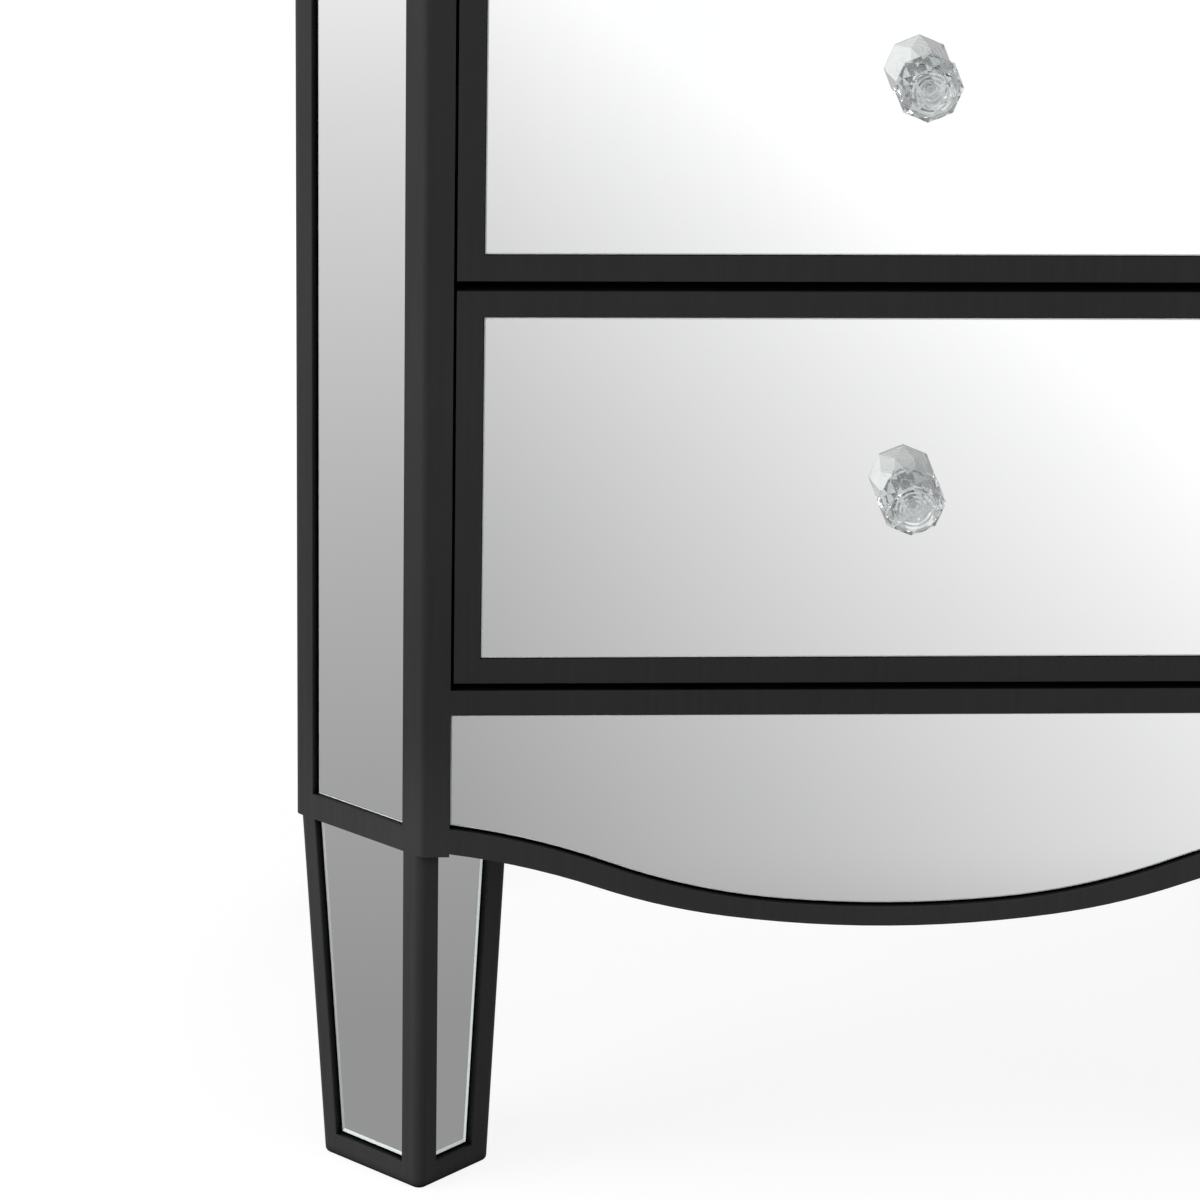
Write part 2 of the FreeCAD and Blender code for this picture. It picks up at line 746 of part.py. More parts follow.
def channel(name, width, height, x, middle, opens_right=True):
    """Folded steel channel along Y, lying on its web."""
    start = f"{front} + dims.board_thickness + dims.slide_setback"
    metal = "dims.slide_metal"
    outside = box(f"{name}_blank", width, "dims.slide_length", height, x, start, f"{middle} - ({height}) / 2")
    inside_x = f"{x} + {metal}" if opens_right else x
    inside = box(f"{name}_hollow", f"{width} - {metal}", "dims.slide_length", f"{height} - 2 * {metal}",
                 inside_x, start, f"{middle} - ({height}) / 2 + {metal}")
    return cut(name, outside, inside)


def make_slides(drawer, low):
    middle = f"{low} + dims.slide_lift"
    wall = f"-{opening_half}"
    step = "(dims.slide_metal + dims.slide_clearance)"
    rails = {
        "case_rail": (f"dims.slide_width - dims.slide_metal - {step}", "dims.slide_height", wall, True),
        "middle_rail": (f"dims.slide_width - 2 * {step}", f"dims.slide_height - 2 * {step}",
                        f"{wall} + {step}", True),
        "drawer_rail": (f"dims.slide_width - 2 * {step} - dims.slide_clearance",
                        f"dims.slide_height - 4 * {step}",
                        f"{wall} + 2 * {step} + dims.slide_clearance", False),
    }
    for kind, (width, height, x, opens_right) in rails.items():
        left = channel(f"{drawer}_left_{kind}", width, height, x, middle, opens_right)
        keep(left, f"{drawer}_left_{kind}")
        keep(mirrored(f"{drawer}_right_{kind}", left), f"{drawer}_right_{kind}")


# Drawers

def make_knob(drawer, middle):
    """Octagonal glass knob on a metal base, held by a bolt through the drawer front."""
    face = f"({front} + dims.mirror_setback)"
    seat = f"{face} - dims.knob_base_height"
    cone = doc.addObject("Part::Cone", f"{drawer}_base_cone")
    bind(cone, Radius1="dims.knob_base_radius", Radius2="dims.knob_neck_radius",
         Height="dims.knob_base_height")
    place(cone, "0", face, middle, FRONT)
    loose = "dims.knob_bolt_radius + dims.bolt_clearance"
    hole = cylinder(f"{drawer}_base_hole", loose, "dims.knob_base_height", "0", face, middle, FRONT)
    keep(cut(f"{drawer}_knob_base", cone, hole), f"{drawer}_knob_base")

    sections = []
    rings = [("neck", "dims.knob_neck_radius", "0"),
             ("girdle", "dims.knob_girdle_radius", "dims.knob_girdle_height"),
             ("table", "dims.knob_table_radius", "dims.knob_height")]
    for ring, radius, out in rings:
        polygon = doc.addObject("Part::RegularPolygon", f"{drawer}_{ring}")
        polygon.Polygon = KNOB_SIDES
        polygon.setExpression("Circumradius", radius)
        place(polygon, "0", f"{seat} - {out}", middle, FRONT)
        sections.append(polygon)
    crystal = doc.addObject("Part::Loft", f"{drawer}_crystal")
    crystal.Sections = sections
    crystal.Solid = True
    crystal.Ruled = True
    socket = cylinder(f"{drawer}_socket", loose, "dims.knob_bolt_reach + dims.bolt_clearance",
                      "0", seat, middle, FRONT)
    keep(cut(f"{drawer}_knob", crystal, socket), f"{drawer}_knob")

    inside = f"{front} + dims.board_thickness"
    grip = "(dims.board_thickness - dims.mirror_setback + dims.knob_base_height)"
    shank = cylinder(f"{drawer}_bolt_shank", "dims.knob_bolt_radius", f"{grip} + dims.knob_bolt_reach",
                     "0", inside, middle, FRONT)
    head = cylinder(f"{drawer}_bolt_head", "dims.knob_bolt_head_radius", "dims.knob_bolt_head",
                    "0", f"{inside} + dims.knob_bolt_head", middle, FRONT)
    keep(fuse(f"{drawer}_knob_bolt", shank, head), f"{drawer}_knob_bolt")


def make_drawer_front(drawer, low):
    half = f"({opening_half} - dims.drawer_gap_side)"
    high = f"{low} + dims.drawer_front_height"
    middle = f"{low} + dims.drawer_front_height / 2"
    hole = ("0", middle, "dims.knob_bolt_radius + dims.bolt_clearance")
    board = new_body(f"{drawer}_drawer_front")
    outline = new_sketch(board, f"{drawer}_front_outline")
    draw_polygon(outline, rectangle(f"-{half}", half, low, high))
    ease(board, pad(board, outline, "dims.board_thickness", into=True), "dims.edge_ease")
    seat = new_sketch(board, f"{drawer}_front_seat")
    border = "dims.drawer_border"
    draw_polygon(seat, rectangle(f"-{half} + {border}", f"{half} - {border}",
                                 f"{low} + {border}", f"{high} - {border}"))
    seat_for_mirror(board, seat)
    bore(board, f"{drawer}_front_hole", *hole, "dims.board_thickness")
    place(board, "0", front, "0", FRONT)
    keep(board, f"{drawer}_drawer_front")

    inset = f"({border} + {clear})"
    plate = rectangle(f"-{half} + {inset}", f"{half} - {inset}", f"{low} + {inset}", f"{high} - {inset}")
    name = f"{drawer}_drawer_mirror"
    glass = mirror_plate(name, polygon_drawer(plate), hole=hole)
    place(glass, "0", front, "0", FRONT)
    keep(glass, name)
    make_knob(drawer, middle)


def make_drawer_box(drawer, low):
    """Grooved sides, a back that stands on the bottom board, and the bottom board."""
    start = f"({front} + dims.board_thickness)"
    thick = "dims.drawer_side_thickness"
    outside = f"({opening_half} - dims.slide_width)"
    inside = f"({outside} - {thick})"
    side_low = f"({low} + dims.drawer_side_lift)"
    bottom_low = f"({side_low} + dims.drawer_bottom_lift)"
    bottom_top = f"({bottom_low} + dims.drawer_bottom_thickness)"
    length = "dims.drawer_box_length"

    blank = box(f"{drawer}_side_blank", thick, length, "dims.drawer_side_height",
                f"-{outside}", start, side_low)
    groove_width = "(dims.groove_depth + dims.groove_clearance)"
    groove = box(f"{drawer}_groove", groove_width, length, "dims.drawer_bottom_thickness",
                 f"-{inside} - {groove_width}", start, bottom_low)
    left = keep(cut(f"{drawer}_drawer_left_side", blank, groove), f"{drawer}_drawer_left_side")
    keep(mirrored(f"{drawer}_drawer_right_side", left), f"{drawer}_drawer_right_side")

    rear = box(f"{drawer}_drawer_back", f"2 * {inside}", thick,
               f"{side_low} + dims.drawer_side_height - {bottom_top}",
               f"-{inside}", f"{start} + {length} - {thick}", bottom_top)
    keep(rear, f"{drawer}_drawer_back")
    bottom = box(f"{drawer}_drawer_bottom", f"2 * ({inside} + dims.groove_depth)", length,
                 "dims.drawer_bottom_thickness", f"-{inside} - dims.groove_depth", start, bottom_low)
    keep(bottom, f"{drawer}_drawer_bottom")


make_top()
make_corner_posts()
back_screws = make_back_screws()
make_sides_and_back(back_screws)
make_apron()
case_floor = make_carcass()
leg_bolts = make_leg_bolts()
keep(cut("bottom_panel", case_floor, leg_bolts), "bottom_panel")
make_front_legs(leg_bolts)
make_rear_legs(leg_bolts)
for drawer_name, drawer_low in (("lower", lower_drawer_low), ("upper", upper_drawer_low)):
    make_drawer_front(drawer_name, drawer_low)
    make_drawer_box(drawer_name, drawer_low)
    make_slides(drawer_name, drawer_low)
doc.recompute()

for obj in doc.Objects:
    if "Invalid" in obj.State or "Error" in obj.State:
        raise RuntimeError(f"{obj.Label} failed to build: {obj.State}")
for obj in parts:
    if obj.Shape.isNull() or not obj.Shape.isValid() or not obj.Shape.Solids:
        raise RuntimeError(f"{obj.Label} has no valid solid")

os.makedirs("parts", exist_ok=True)
for obj in parts:
    obj.Shape.exportStep(f"parts/{obj.Label}.step")
print(f"{len(parts)} sub-parts written")
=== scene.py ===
# %% [markdown]
# # A mirrored nightstand
# The nightstand is a small black case on four legs. Mirror plates sit in shallow seats on its drawers,
# its canted corners, its sides, its top and its front legs, and each drawer has a cut-glass knob.
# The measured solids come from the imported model. This lesson gives them their finishes, cuts the two
# glass knobs and drives the screws, then lights the piece and sets up the camera.

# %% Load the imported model
import math

import bmesh
import bpy
from mathutils import Matrix, Vector


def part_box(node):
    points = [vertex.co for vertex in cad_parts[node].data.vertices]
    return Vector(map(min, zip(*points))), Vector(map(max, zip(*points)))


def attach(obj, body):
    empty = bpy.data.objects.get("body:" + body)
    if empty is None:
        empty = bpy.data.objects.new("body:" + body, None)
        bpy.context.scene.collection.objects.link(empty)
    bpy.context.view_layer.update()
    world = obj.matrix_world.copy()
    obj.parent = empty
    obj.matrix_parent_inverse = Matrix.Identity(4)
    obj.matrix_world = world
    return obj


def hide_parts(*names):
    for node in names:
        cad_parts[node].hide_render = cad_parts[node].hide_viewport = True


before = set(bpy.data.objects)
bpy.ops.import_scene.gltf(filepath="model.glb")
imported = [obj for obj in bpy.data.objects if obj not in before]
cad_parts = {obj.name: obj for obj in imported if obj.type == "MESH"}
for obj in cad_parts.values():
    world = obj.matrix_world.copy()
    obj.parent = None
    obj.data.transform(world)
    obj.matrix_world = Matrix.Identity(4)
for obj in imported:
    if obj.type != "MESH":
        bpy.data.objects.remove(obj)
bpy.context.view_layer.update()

MM = 0.001

# %% [markdown]
# ## Helpers for the finishes
# Every finish of the nightstand is one Principled shader with a few texture nodes in front of it. The
# textures read Object coordinates. All the pieces keep their place in their mesh, so Object coordinates
# are metres in the room, and a pattern runs on from one board to the next as a sprayed coat does. A few
# helpers keep the cells short: they add a node, feed its sockets, stretch a value, run it through two
# colours or blend two sources.

# %% Node helpers
def new_finish(name):
    """An empty material: returns it with its node tree and its Principled shader."""
    finish = bpy.data.materials.new(name)
    finish.use_nodes = True
    tree = finish.node_tree
    return finish, tree, tree.nodes["Principled BSDF"]


def add_node(tree, kind, title, sockets=None, **settings):
    """A labelled node with its settings and unlinked sockets filled in."""
    node = tree.nodes.new(kind)
    node.label = title
    for name, setting in settings.items():
        setattr(node, name, setting)
    for name, value in (sockets or {}).items():
        node.inputs[name].default_value = value
    return node


def feed(tree, socket, source):
    """Fill a socket with a link or with a plain value."""
    if isinstance(source, bpy.types.NodeSocket):
        tree.links.new(source, socket)
    else:
        socket.default_value = source


def active(sockets):
    """The sockets that the settings of a node leave in use."""
    return [socket for socket in sockets if socket.enabled]


def object_place(tree, stretch=(1.0, 1.0, 1.0)):
    """Object coordinates in metres, squeezed or stretched along each axis."""
    place = add_node(tree, "ShaderNodeTexCoord", "place on the piece")
    mapping = add_node(tree, "ShaderNodeMapping", "stretch", {"Scale": stretch})
    tree.links.new(place.outputs["Object"], mapping.inputs["Vector"])
    return mapping.outputs["Vector"]


def noise(tree, place, title, scale, detail=2.0, roughness=0.5):
    node = add_node(tree, "ShaderNodeTexNoise", title,
                    {"Scale": scale, "Detail": detail, "Roughness": roughness})
    tree.links.new(place, node.inputs["Vector"])
    return node.outputs[0]


def spread(tree, source, low, high, from_low=0.3, from_high=0.7):
    """Stretch a texture's value over a new range."""
    node = add_node(tree, "ShaderNodeMapRange", "range", {
        "From Min": from_low, "From Max": from_high, "To Min": low, "To Max": high})
    tree.links.new(source, node.inputs["Value"])
    return node.outputs[0]


def tint(tree, source, dark, light, low=0.3, high=0.7):
    """Run a texture's value through two colours."""
    node = add_node(tree, "ShaderNodeValToRGB", "two tones")
    first, last = node.color_ramp.elements
    first.position, first.color = low, (*dark, 1.0)
    last.position, last.color = high, (*light, 1.0)
    tree.links.new(source, node.inputs["Fac"])
    return node.outputs["Color"]


def relief(tree, source, strength, depth):
    node = add_node(tree, "ShaderNodeBump", "relief", {"Strength": strength, "Distance": depth})
    tree.links.new(source, node.inputs["Height"])
    return node.outputs["Normal"]


def math_node(tree, operation, *sources):
    """One arithmetic step on sockets or plain numbers."""
    node = add_node(tree, "ShaderNodeMath", operation.lower(), operation=operation)
    for socket, source in zip(node.inputs, sources):
        feed(tree, socket, source)
    return node.outputs[0]


def blend(tree, title, kind, share, first, second):
    """The first source where the share is 0, the second where it is 1."""
    node = add_node(tree, "ShaderNodeMix", title, data_type=kind)
    for socket, source in zip(active(node.inputs), (share, first, second)):
        feed(tree, socket, source)
    return active(node.outputs)[0]


print("node helpers ready")

# %% [markdown]
# ## Satin black lacquer
# The frames, legs and posts are sprayed with black lacquer and left at a satin sheen. Lacquer is never
# one even tone: the coat is a little thicker here and thinner there, and a spray gun leaves a fine skin
# like the peel of an orange. The grain of the wood telegraphs through it as faint upright streaks. Four
# noise textures do that: a broad one for the tone, one stretched upwards for the streaks, a middling one
# for the sheen and a very fine one for the skin. The legs and the foot of the case get painted light:
# their colour is made a shade paler by height alone. The narrow seats round the mirrors and the gaps get
# painted shade: an occlusion node finds those places, and there the colour is made dark and the sheen
# dull.

# %% Lacquer
# Painted shade in the seats and gaps: the reach and samples of the occlusion node, and how dark the colour
# is made deepest in.
SEAT_REACH = 6.0 * MM
SEAT_SAMPLES = 3
HEMMED_IN, IN_THE_OPEN = 0.4, 0.85
DEEPEST_PAINTED_SHADE = 0.08
COAT_TONES = ((0.0205, 0.020, 0.0205), (0.029, 0.028, 0.0285))
COAT_SCALE, GRAIN_SCALE, SHEEN_SCALE, SKIN_SCALE = 5.0, 420.0, 14.0, 620.0
GRAIN_STRETCH = (1.0, 1.0, 0.04)
GRAIN_SHARE = 0.4
SHEEN_LEVEL = 0.15
SATIN = (0.44, 0.52)
SKIN_STRENGTH = 0.10
SKIN_DEPTH = 0.15 * MM
# Painted light: below these heights the coat colour is made paler, up to 1.3 times as bright.
PALE_BELOW, DARK_ABOVE = 0.165, 0.215
PAINTED_PALENESS = 1.3


def painted_seat_shade(tree):
    """Painted shade: 1 on open faces, falling to almost 0 deep in a seat or a gap."""
    hemmed = add_node(tree, "ShaderNodeAmbientOcclusion", "hemmed in", {"Distance": SEAT_REACH},
                      samples=SEAT_SAMPLES)
    return spread(tree, hemmed.outputs["AO"], DEEPEST_PAINTED_SHADE, 1.0, HEMMED_IN, IN_THE_OPEN)


def painted_light_below(tree, place):
    """Painted light: how much paler the colour is made, from its height above the floor."""
    split = add_node(tree, "ShaderNodeSeparateXYZ", "height")
    tree.links.new(place, split.inputs["Vector"])
    return spread(tree, split.outputs["Z"], PAINTED_PALENESS, 1.0, PALE_BELOW, DARK_ABOVE)


def black_lacquer():
    finish, tree, shader = new_finish("satin black lacquer")
    place = object_place(tree)
    unshaded_share = painted_seat_shade(tree)
    painted_shade_and_light = math_node(tree, "MULTIPLY", unshaded_share, painted_light_below(tree, place))
    thickness = noise(tree, place, "coat thickness", COAT_SCALE, detail=3.0)
    streaks = noise(tree, object_place(tree, GRAIN_STRETCH), "grain under the coat", GRAIN_SCALE, detail=3.0)
    broad = math_node(tree, "MULTIPLY", thickness, 1.0 - GRAIN_SHARE)
    mottle = math_node(tree, "MULTIPLY_ADD", streaks, GRAIN_SHARE, broad)
    # Painted shade and light: the coat colour is made dark in the seats and gaps and paler low down.
    coat = add_node(tree, "ShaderNodeVectorMath", "painted shade and light", operation="MULTIPLY")
    tree.links.new(tint(tree, mottle, *COAT_TONES), coat.inputs[0])
    tree.links.new(painted_shade_and_light, coat.inputs[1])
    tree.links.new(coat.outputs["Vector"], shader.inputs["Base Color"])
    # Painted shade: the sheen is turned down in the seats and gaps as well.
    tree.links.new(math_node(tree, "MULTIPLY", unshaded_share, SHEEN_LEVEL), shader.inputs["Specular IOR Level"])
    sheen = noise(tree, place, "uneven sheen", SHEEN_SCALE, detail=4.0)
    tree.links.new(spread(tree, sheen, *SATIN), shader.inputs["Roughness"])
    skin = noise(tree, place, "spray skin", SKIN_SCALE, detail=1.0)
    tree.links.new(relief(tree, skin, SKIN_STRENGTH, SKIN_DEPTH), shader.inputs["Normal"])
    return finish


lacquer = black_lacquer()
print("made:", lacquer.name)

# %% [markdown]
# ## Mirror plate
# Each plate is silvered glass with a ground bevel round its face. A mirror could be made with a glass
# layer over a metal one, but a single metallic surface gives the same picture for much less rendering.
# The bevel is ground glass, so it scatters a little and reads as a pale line. The plates in the model
# face straight left, right, forward or up, or at 45 degrees, so the flat of a plate is where the surface
# normal lines up with one of those directions, and all the rest is bevel. The strips next to a front
# arris are polished as clear as the plate, and those that turn well to the left keep over half of their
# polish. Glass also carries light along inside the plate and lets it out at a ground edge. A plain surface
# can't do that, so the bevels that turn to the right, away from the main lamp, glow a little instead.

# %% Silvered glass
FLAT_ALIGNMENT = 0.9985
DIAGONAL = math.sqrt(0.5)
GROUND_GLASS = (0.86, 0.93, 0.95, 1.0)
NEXT_TO_ARRIS = (0.35, -0.8)
GROUND_SHARE = (0.4, 0.9)
LEFT_TURN = (-0.83, -0.69)
EDGE_GLOW = 0.45
RIGHT_TURN = (0.5, 0.8)
SILVER_TONES = ((0.915, 0.92, 0.92), (0.935, 0.937, 0.937))
SILVER_SCALE = 7.0
POLISH = (0.010, 0.022)
GRINDING = 0.4


def bevel_mask(tree):
    """Share of ground glass, 0 on the flat of a plate and up to 1 on its bevels, and the edge glow."""
    surface = add_node(tree, "ShaderNodeNewGeometry", "surface")
    turned = add_node(tree, "ShaderNodeSeparateXYZ", "way it faces")
    tree.links.new(surface.outputs["True Normal"], turned.inputs["Vector"])
    size = add_node(tree, "ShaderNodeVectorMath", "without sign", operation="ABSOLUTE")
    tree.links.new(surface.outputs["True Normal"], size.inputs[0])
    split = add_node(tree, "ShaderNodeSeparateXYZ", "three axes")
    tree.links.new(size.outputs["Vector"], split.inputs["Vector"])
    straight = math_node(tree, "MAXIMUM", split.outputs["X"], split.outputs["Y"])
    straight = math_node(tree, "MAXIMUM", straight, split.outputs["Z"])
    canted = math_node(tree, "ADD", split.outputs["X"], split.outputs["Y"])
    canted = math_node(tree, "MULTIPLY", canted, DIAGONAL)
    aligned = math_node(tree, "MAXIMUM", straight, canted)
    bevel = math_node(tree, "LESS_THAN", aligned, FLAT_ALIGNMENT)
    oblique = math_node(tree, "GREATER_THAN", split.outputs["X"], NEXT_TO_ARRIS[0])
    forward = math_node(tree, "LESS_THAN", turned.outputs["Y"], NEXT_TO_ARRIS[1])
    far_strip = math_node(tree, "SUBTRACT", 1.0, math_node(tree, "MULTIPLY", oblique, forward))
    leftness = spread(tree, turned.outputs["X"], *GROUND_SHARE, *LEFT_TURN)
    share = math_node(tree, "MULTIPLY", math_node(tree, "MULTIPLY", bevel, far_strip), leftness)
    rightness = spread(tree, turned.outputs["X"], 0.0, EDGE_GLOW, *RIGHT_TURN)
    return share, math_node(tree, "MULTIPLY", share, rightness)


def mirror_glass():
    finish, tree, shader = new_finish("silvered mirror glass")
    bevel, glow = bevel_mask(tree)
    tree.links.new(glow, shader.inputs["Emission Strength"])
    shader.inputs["Emission Color"].default_value = GROUND_GLASS
    tree.links.new(math_node(tree, "SUBTRACT", 1.0, bevel), shader.inputs["Metallic"])
    cloud = noise(tree, object_place(tree), "breath on the silver", SILVER_SCALE, detail=5.0)
    silver = tint(tree, cloud, *SILVER_TONES)
    colour = blend(tree, "flat or bevel", "RGBA", bevel, silver, GROUND_GLASS)
    tree.links.new(colour, shader.inputs["Base Color"])
    polish = spread(tree, cloud, *POLISH)
    tree.links.new(math_node(tree, "MULTIPLY_ADD", bevel, GRINDING, polish), shader.inputs["Roughness"])
    return finish


mirror = mirror_glass()
print("made:", mirror.name)

# %% [markdown]
# ## Drawer plywood
# The drawer boxes are birch plywood. Its face shows long soft grain, and its cut edges show the plies as
# thin stripes. Grain is noise stretched a long way in one direction. The stripes are a wave that only
# shows where the surface faces up, which is where a cut edge is seen in an open drawer.

# %% Birch
PLY_THICKNESS = 1.5 * MM
WAVE_LENGTH = math.pi / 10
FACE_TONES = ((0.46, 0.30, 0.16), (0.69, 0.51, 0.31))
BOTTOM_TONES = ((0.48, 0.32, 0.17), (0.70, 0.53, 0.33))
PLY_TONES = ((0.36, 0.22, 0.11), (0.72, 0.54, 0.33))
GRAIN_LIMITS = (0.32, 0.66)
ALONG_DEPTH, ALONG_WIDTH = (70.0, 5.0, 70.0), (5.0, 70.0, 70.0)
SEALED = (0.42, 0.58)
BIRCH_RELIEF = 0.25
BIRCH_DEPTH = 0.2 * MM
FACING_UP = 0.9


def birch(name, stretch, tones):
    """Sheen and relief of the grain: returns the finish, its tree, its shader and the face colour."""
    finish, tree, shader = new_finish(name)
    grain = noise(tree, object_place(tree, stretch), "grain", 1.0, detail=6.0, roughness=0.62)
    tree.links.new(spread(tree, grain, *SEALED), shader.inputs["Roughness"])
    tree.links.new(relief(tree, grain, BIRCH_RELIEF, BIRCH_DEPTH), shader.inputs["Normal"])
    return finish, tree, shader, tint(tree, grain, *tones, *GRAIN_LIMITS)


def edged_birch(name, stretch, edge_axis):
    """A drawer board whose upper edge is cut across its plies."""
    finish, tree, shader, face = birch(name, stretch, FACE_TONES)
    plies = add_node(tree, "ShaderNodeTexWave", "plies", {
        "Scale": WAVE_LENGTH / (2 * PLY_THICKNESS), "Distortion": 0.6, "Detail": 2.0},
        wave_type="BANDS", bands_direction=edge_axis)
    tree.links.new(object_place(tree), plies.inputs["Vector"])
    edge = tint(tree, plies.outputs["Fac"], *PLY_TONES)
    surface = add_node(tree, "ShaderNodeNewGeometry", "surface")
    split = add_node(tree, "ShaderNodeSeparateXYZ", "three axes")
    tree.links.new(surface.outputs["True Normal"], split.inputs["Vector"])
    upward = math_node(tree, "GREATER_THAN", split.outputs["Z"], FACING_UP)
    colour = blend(tree, "face or cut edge", "RGBA", upward, face, edge)
    tree.links.new(colour, shader.inputs["Base Color"])
    return finish


def bottom_birch():
    """The drawer bottom shows its face upwards, so it has grain only."""
    finish, tree, shader, face = birch("birch drawer bottom", ALONG_WIDTH, BOTTOM_TONES)
    tree.links.new(face, shader.inputs["Base Color"])
    return finish


side_birch = edged_birch("birch drawer side", ALONG_DEPTH, "X")
back_birch = edged_birch("birch drawer back", ALONG_WIDTH, "Y")
floor_birch = bottom_birch()
print("made:", side_birch.name, back_birch.name, floor_birch.name)

# %% [markdown]
# ## Board, steel and chrome
# The hidden carcass boards are stained fibreboard: dull, nearly black, with a short felted fibre. The
# slides are rolled from zinc-plated strip, so their streaks run along the length. The rails fixed in the
# case are blackened, so that no bright end shows through the gap beside a drawer. Screws are the same
# zinc with a finer mottle, and the knob bases are chrome with faint polishing marks.

# %% Hidden boards and metals
STAIN_TONES = ((0.016, 0.0155, 0.015), (0.040, 0.038, 0.036))
FIBRE_STRETCH = (220.0, 60.0, 60.0)
FELTED = (0.62, 0.82)
FIBRE_RELIEF = 0.3
FIBRE_DEPTH = 0.15 * MM
ROLLED, EVEN = (300.0, 6.0, 300.0), (1.0, 1.0, 1.0)


def stained_board():
    finish, tree, shader = new_finish("black stained board")
    fibre = noise(tree, object_place(tree, FIBRE_STRETCH), "felted fibre", 1.0, detail=5.0, roughness=0.7)
    tree.links.new(tint(tree, fibre, *STAIN_TONES), shader.inputs["Base Color"])
    tree.links.new(spread(tree, fibre, *FELTED), shader.inputs["Roughness"])
    tree.links.new(relief(tree, fibre, FIBRE_RELIEF, FIBRE_DEPTH), shader.inputs["Normal"])
    return finish


def metal(name, dark, light, dull, stretch, mottle):
    """Bare or plated metal: two tones and a range of roughness, in streaks or in an even mottle."""
    finish, tree, shader = new_finish(name)
    shader.inputs["Metallic"].default_value = 1.0
    streak = noise(tree, object_place(tree, stretch), "streaks", mottle, detail=4.0, roughness=0.6)
    tree.links.new(tint(tree, streak, dark, light), shader.inputs["Base Color"])
    tree.links.new(spread(tree, streak, *dull), shader.inputs["Roughness"])
    return finish


board = stained_board()
slide_zinc = metal("zinc-plated slide", (0.50, 0.51, 0.53), (0.70, 0.71, 0.72), (0.28, 0.42), ROLLED, 1.0)
case_steel = metal("blackened slide", (0.035, 0.035, 0.037), (0.06, 0.06, 0.062), (0.45, 0.60), ROLLED, 1.0)
screw_zinc = metal("zinc-plated screw", (0.42, 0.42, 0.43), (0.66, 0.66, 0.66), (0.25, 0.40), EVEN, 900.0)
chrome = metal("polished chrome", (0.72, 0.73, 0.74), (0.82, 0.83, 0.84), (0.05, 0.13), EVEN, 700.0)
print("made:", board.name, slide_zinc.name, case_steel.name, screw_zinc.name, chrome.name)

# %% [markdown]
# ## Cut glass
# The knobs are pressed and polished glass, clear with a slight grey-green body. Full transmission bends
# the light through the facets. Light enters with the index of glass and leaves with a lower one: real
# glass would throw it from facet to facet many more times than a renderer follows, and the knob would
# fill with black. A fine noise on the roughness keeps the facets from looking like a diagram.

# %% Glass
ENTERING_INDEX = 1.5
LEAVING_INDEX = 1.2
GLASS_TONES = ((0.79, 0.815, 0.81), (0.87, 0.89, 0.888))
SMEAR_SCALE = 320.0
FACET_POLISH = (0.0, 0.04)


def cut_glass():
    finish, tree, shader = new_finish("clear cut glass")
    shader.inputs["Transmission Weight"].default_value = 1.0
    surface = add_node(tree, "ShaderNodeNewGeometry", "surface")
    index = spread(tree, surface.outputs["Backfacing"], ENTERING_INDEX, LEAVING_INDEX, 0.0, 1.0)
    tree.links.new(index, shader.inputs["IOR"])
    smear = noise(tree, object_place(tree), "polishing smear", SMEAR_SCALE, detail=3.0)
    tree.links.new(tint(tree, smear, *GLASS_TONES), shader.inputs["Base Color"])
    tree.links.new(spread(tree, smear, *FACET_POLISH), shader.inputs["Roughness"])
    return finish


glass = cut_glass()
print("made:", glass.name)

# %% [markdown]
# ## Dressing the solids
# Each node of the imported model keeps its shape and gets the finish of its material. The node names say
# what each one is, so a short table from words to finishes does the whole case.

# %% Give every node its finish
FINISHES = [
    ("mirror", mirror),
    ("knob_base", chrome),
    ("knob_bolt", screw_zinc),
    ("bolts", screw_zinc),
    ("screws", screw_zinc),
    ("knob", glass),
    ("_case_rail", case_steel),
    ("_middle_rail", slide_zinc),
    ("_drawer_rail", slide_zinc),
    ("drawer_back", back_birch),
    ("drawer_bottom", floor_birch),
    ("drawer_left_side", side_birch),
    ("drawer_right_side", side_birch),
    ("liner", board),
    ("bottom_panel", board),
    ("back_panel", board),
]


def finish_for(name):
    return next((finish for word, finish in FINISHES if word in name), lacquer)


for name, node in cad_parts.items():
    node.data.materials.clear()
    node.data.materials.append(finish_for(name))
print("finished nodes:", len(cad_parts))

# %% [markdown]
# ## Cross-head screws
# Eight pan-head screws hold the back panel, and one bolt holds each knob. They are one shape repeated on
# a grid, which is what Geometry Nodes is good at: the tree makes a head with a cross recess and a
# threaded shank, sets one on each point of a grid and gives every one its own turn, because no two
# screws stop at the same angle. The thread is a ripple along the shank rather than a true helix. Only the
# heads show: those of the screws at the back, and those of the bolts inside the drawers.

# %% Screw tree
SCREW_INPUTS = {
    "Columns": 1, "Rows": 1, "Column Spacing": 0.1, "Row Spacing": 0.1,
    "Head Radius": 0.004, "Head Height": 0.002, "Shank Radius": 0.002, "Shank Length": 0.02,
    "Thread Pitch": 0.0007, "Thread Depth": 0.00015, "Recess Width": 0.0009, "Recess Depth": 0.001,
    "Seed": 3,
}
CROWN_SHARE = 0.74
ARM_SHARE = 1.15
HEAD_SIDES, SHANK_SIDES = 32, 16
STEPS_PER_TURN = 4.0


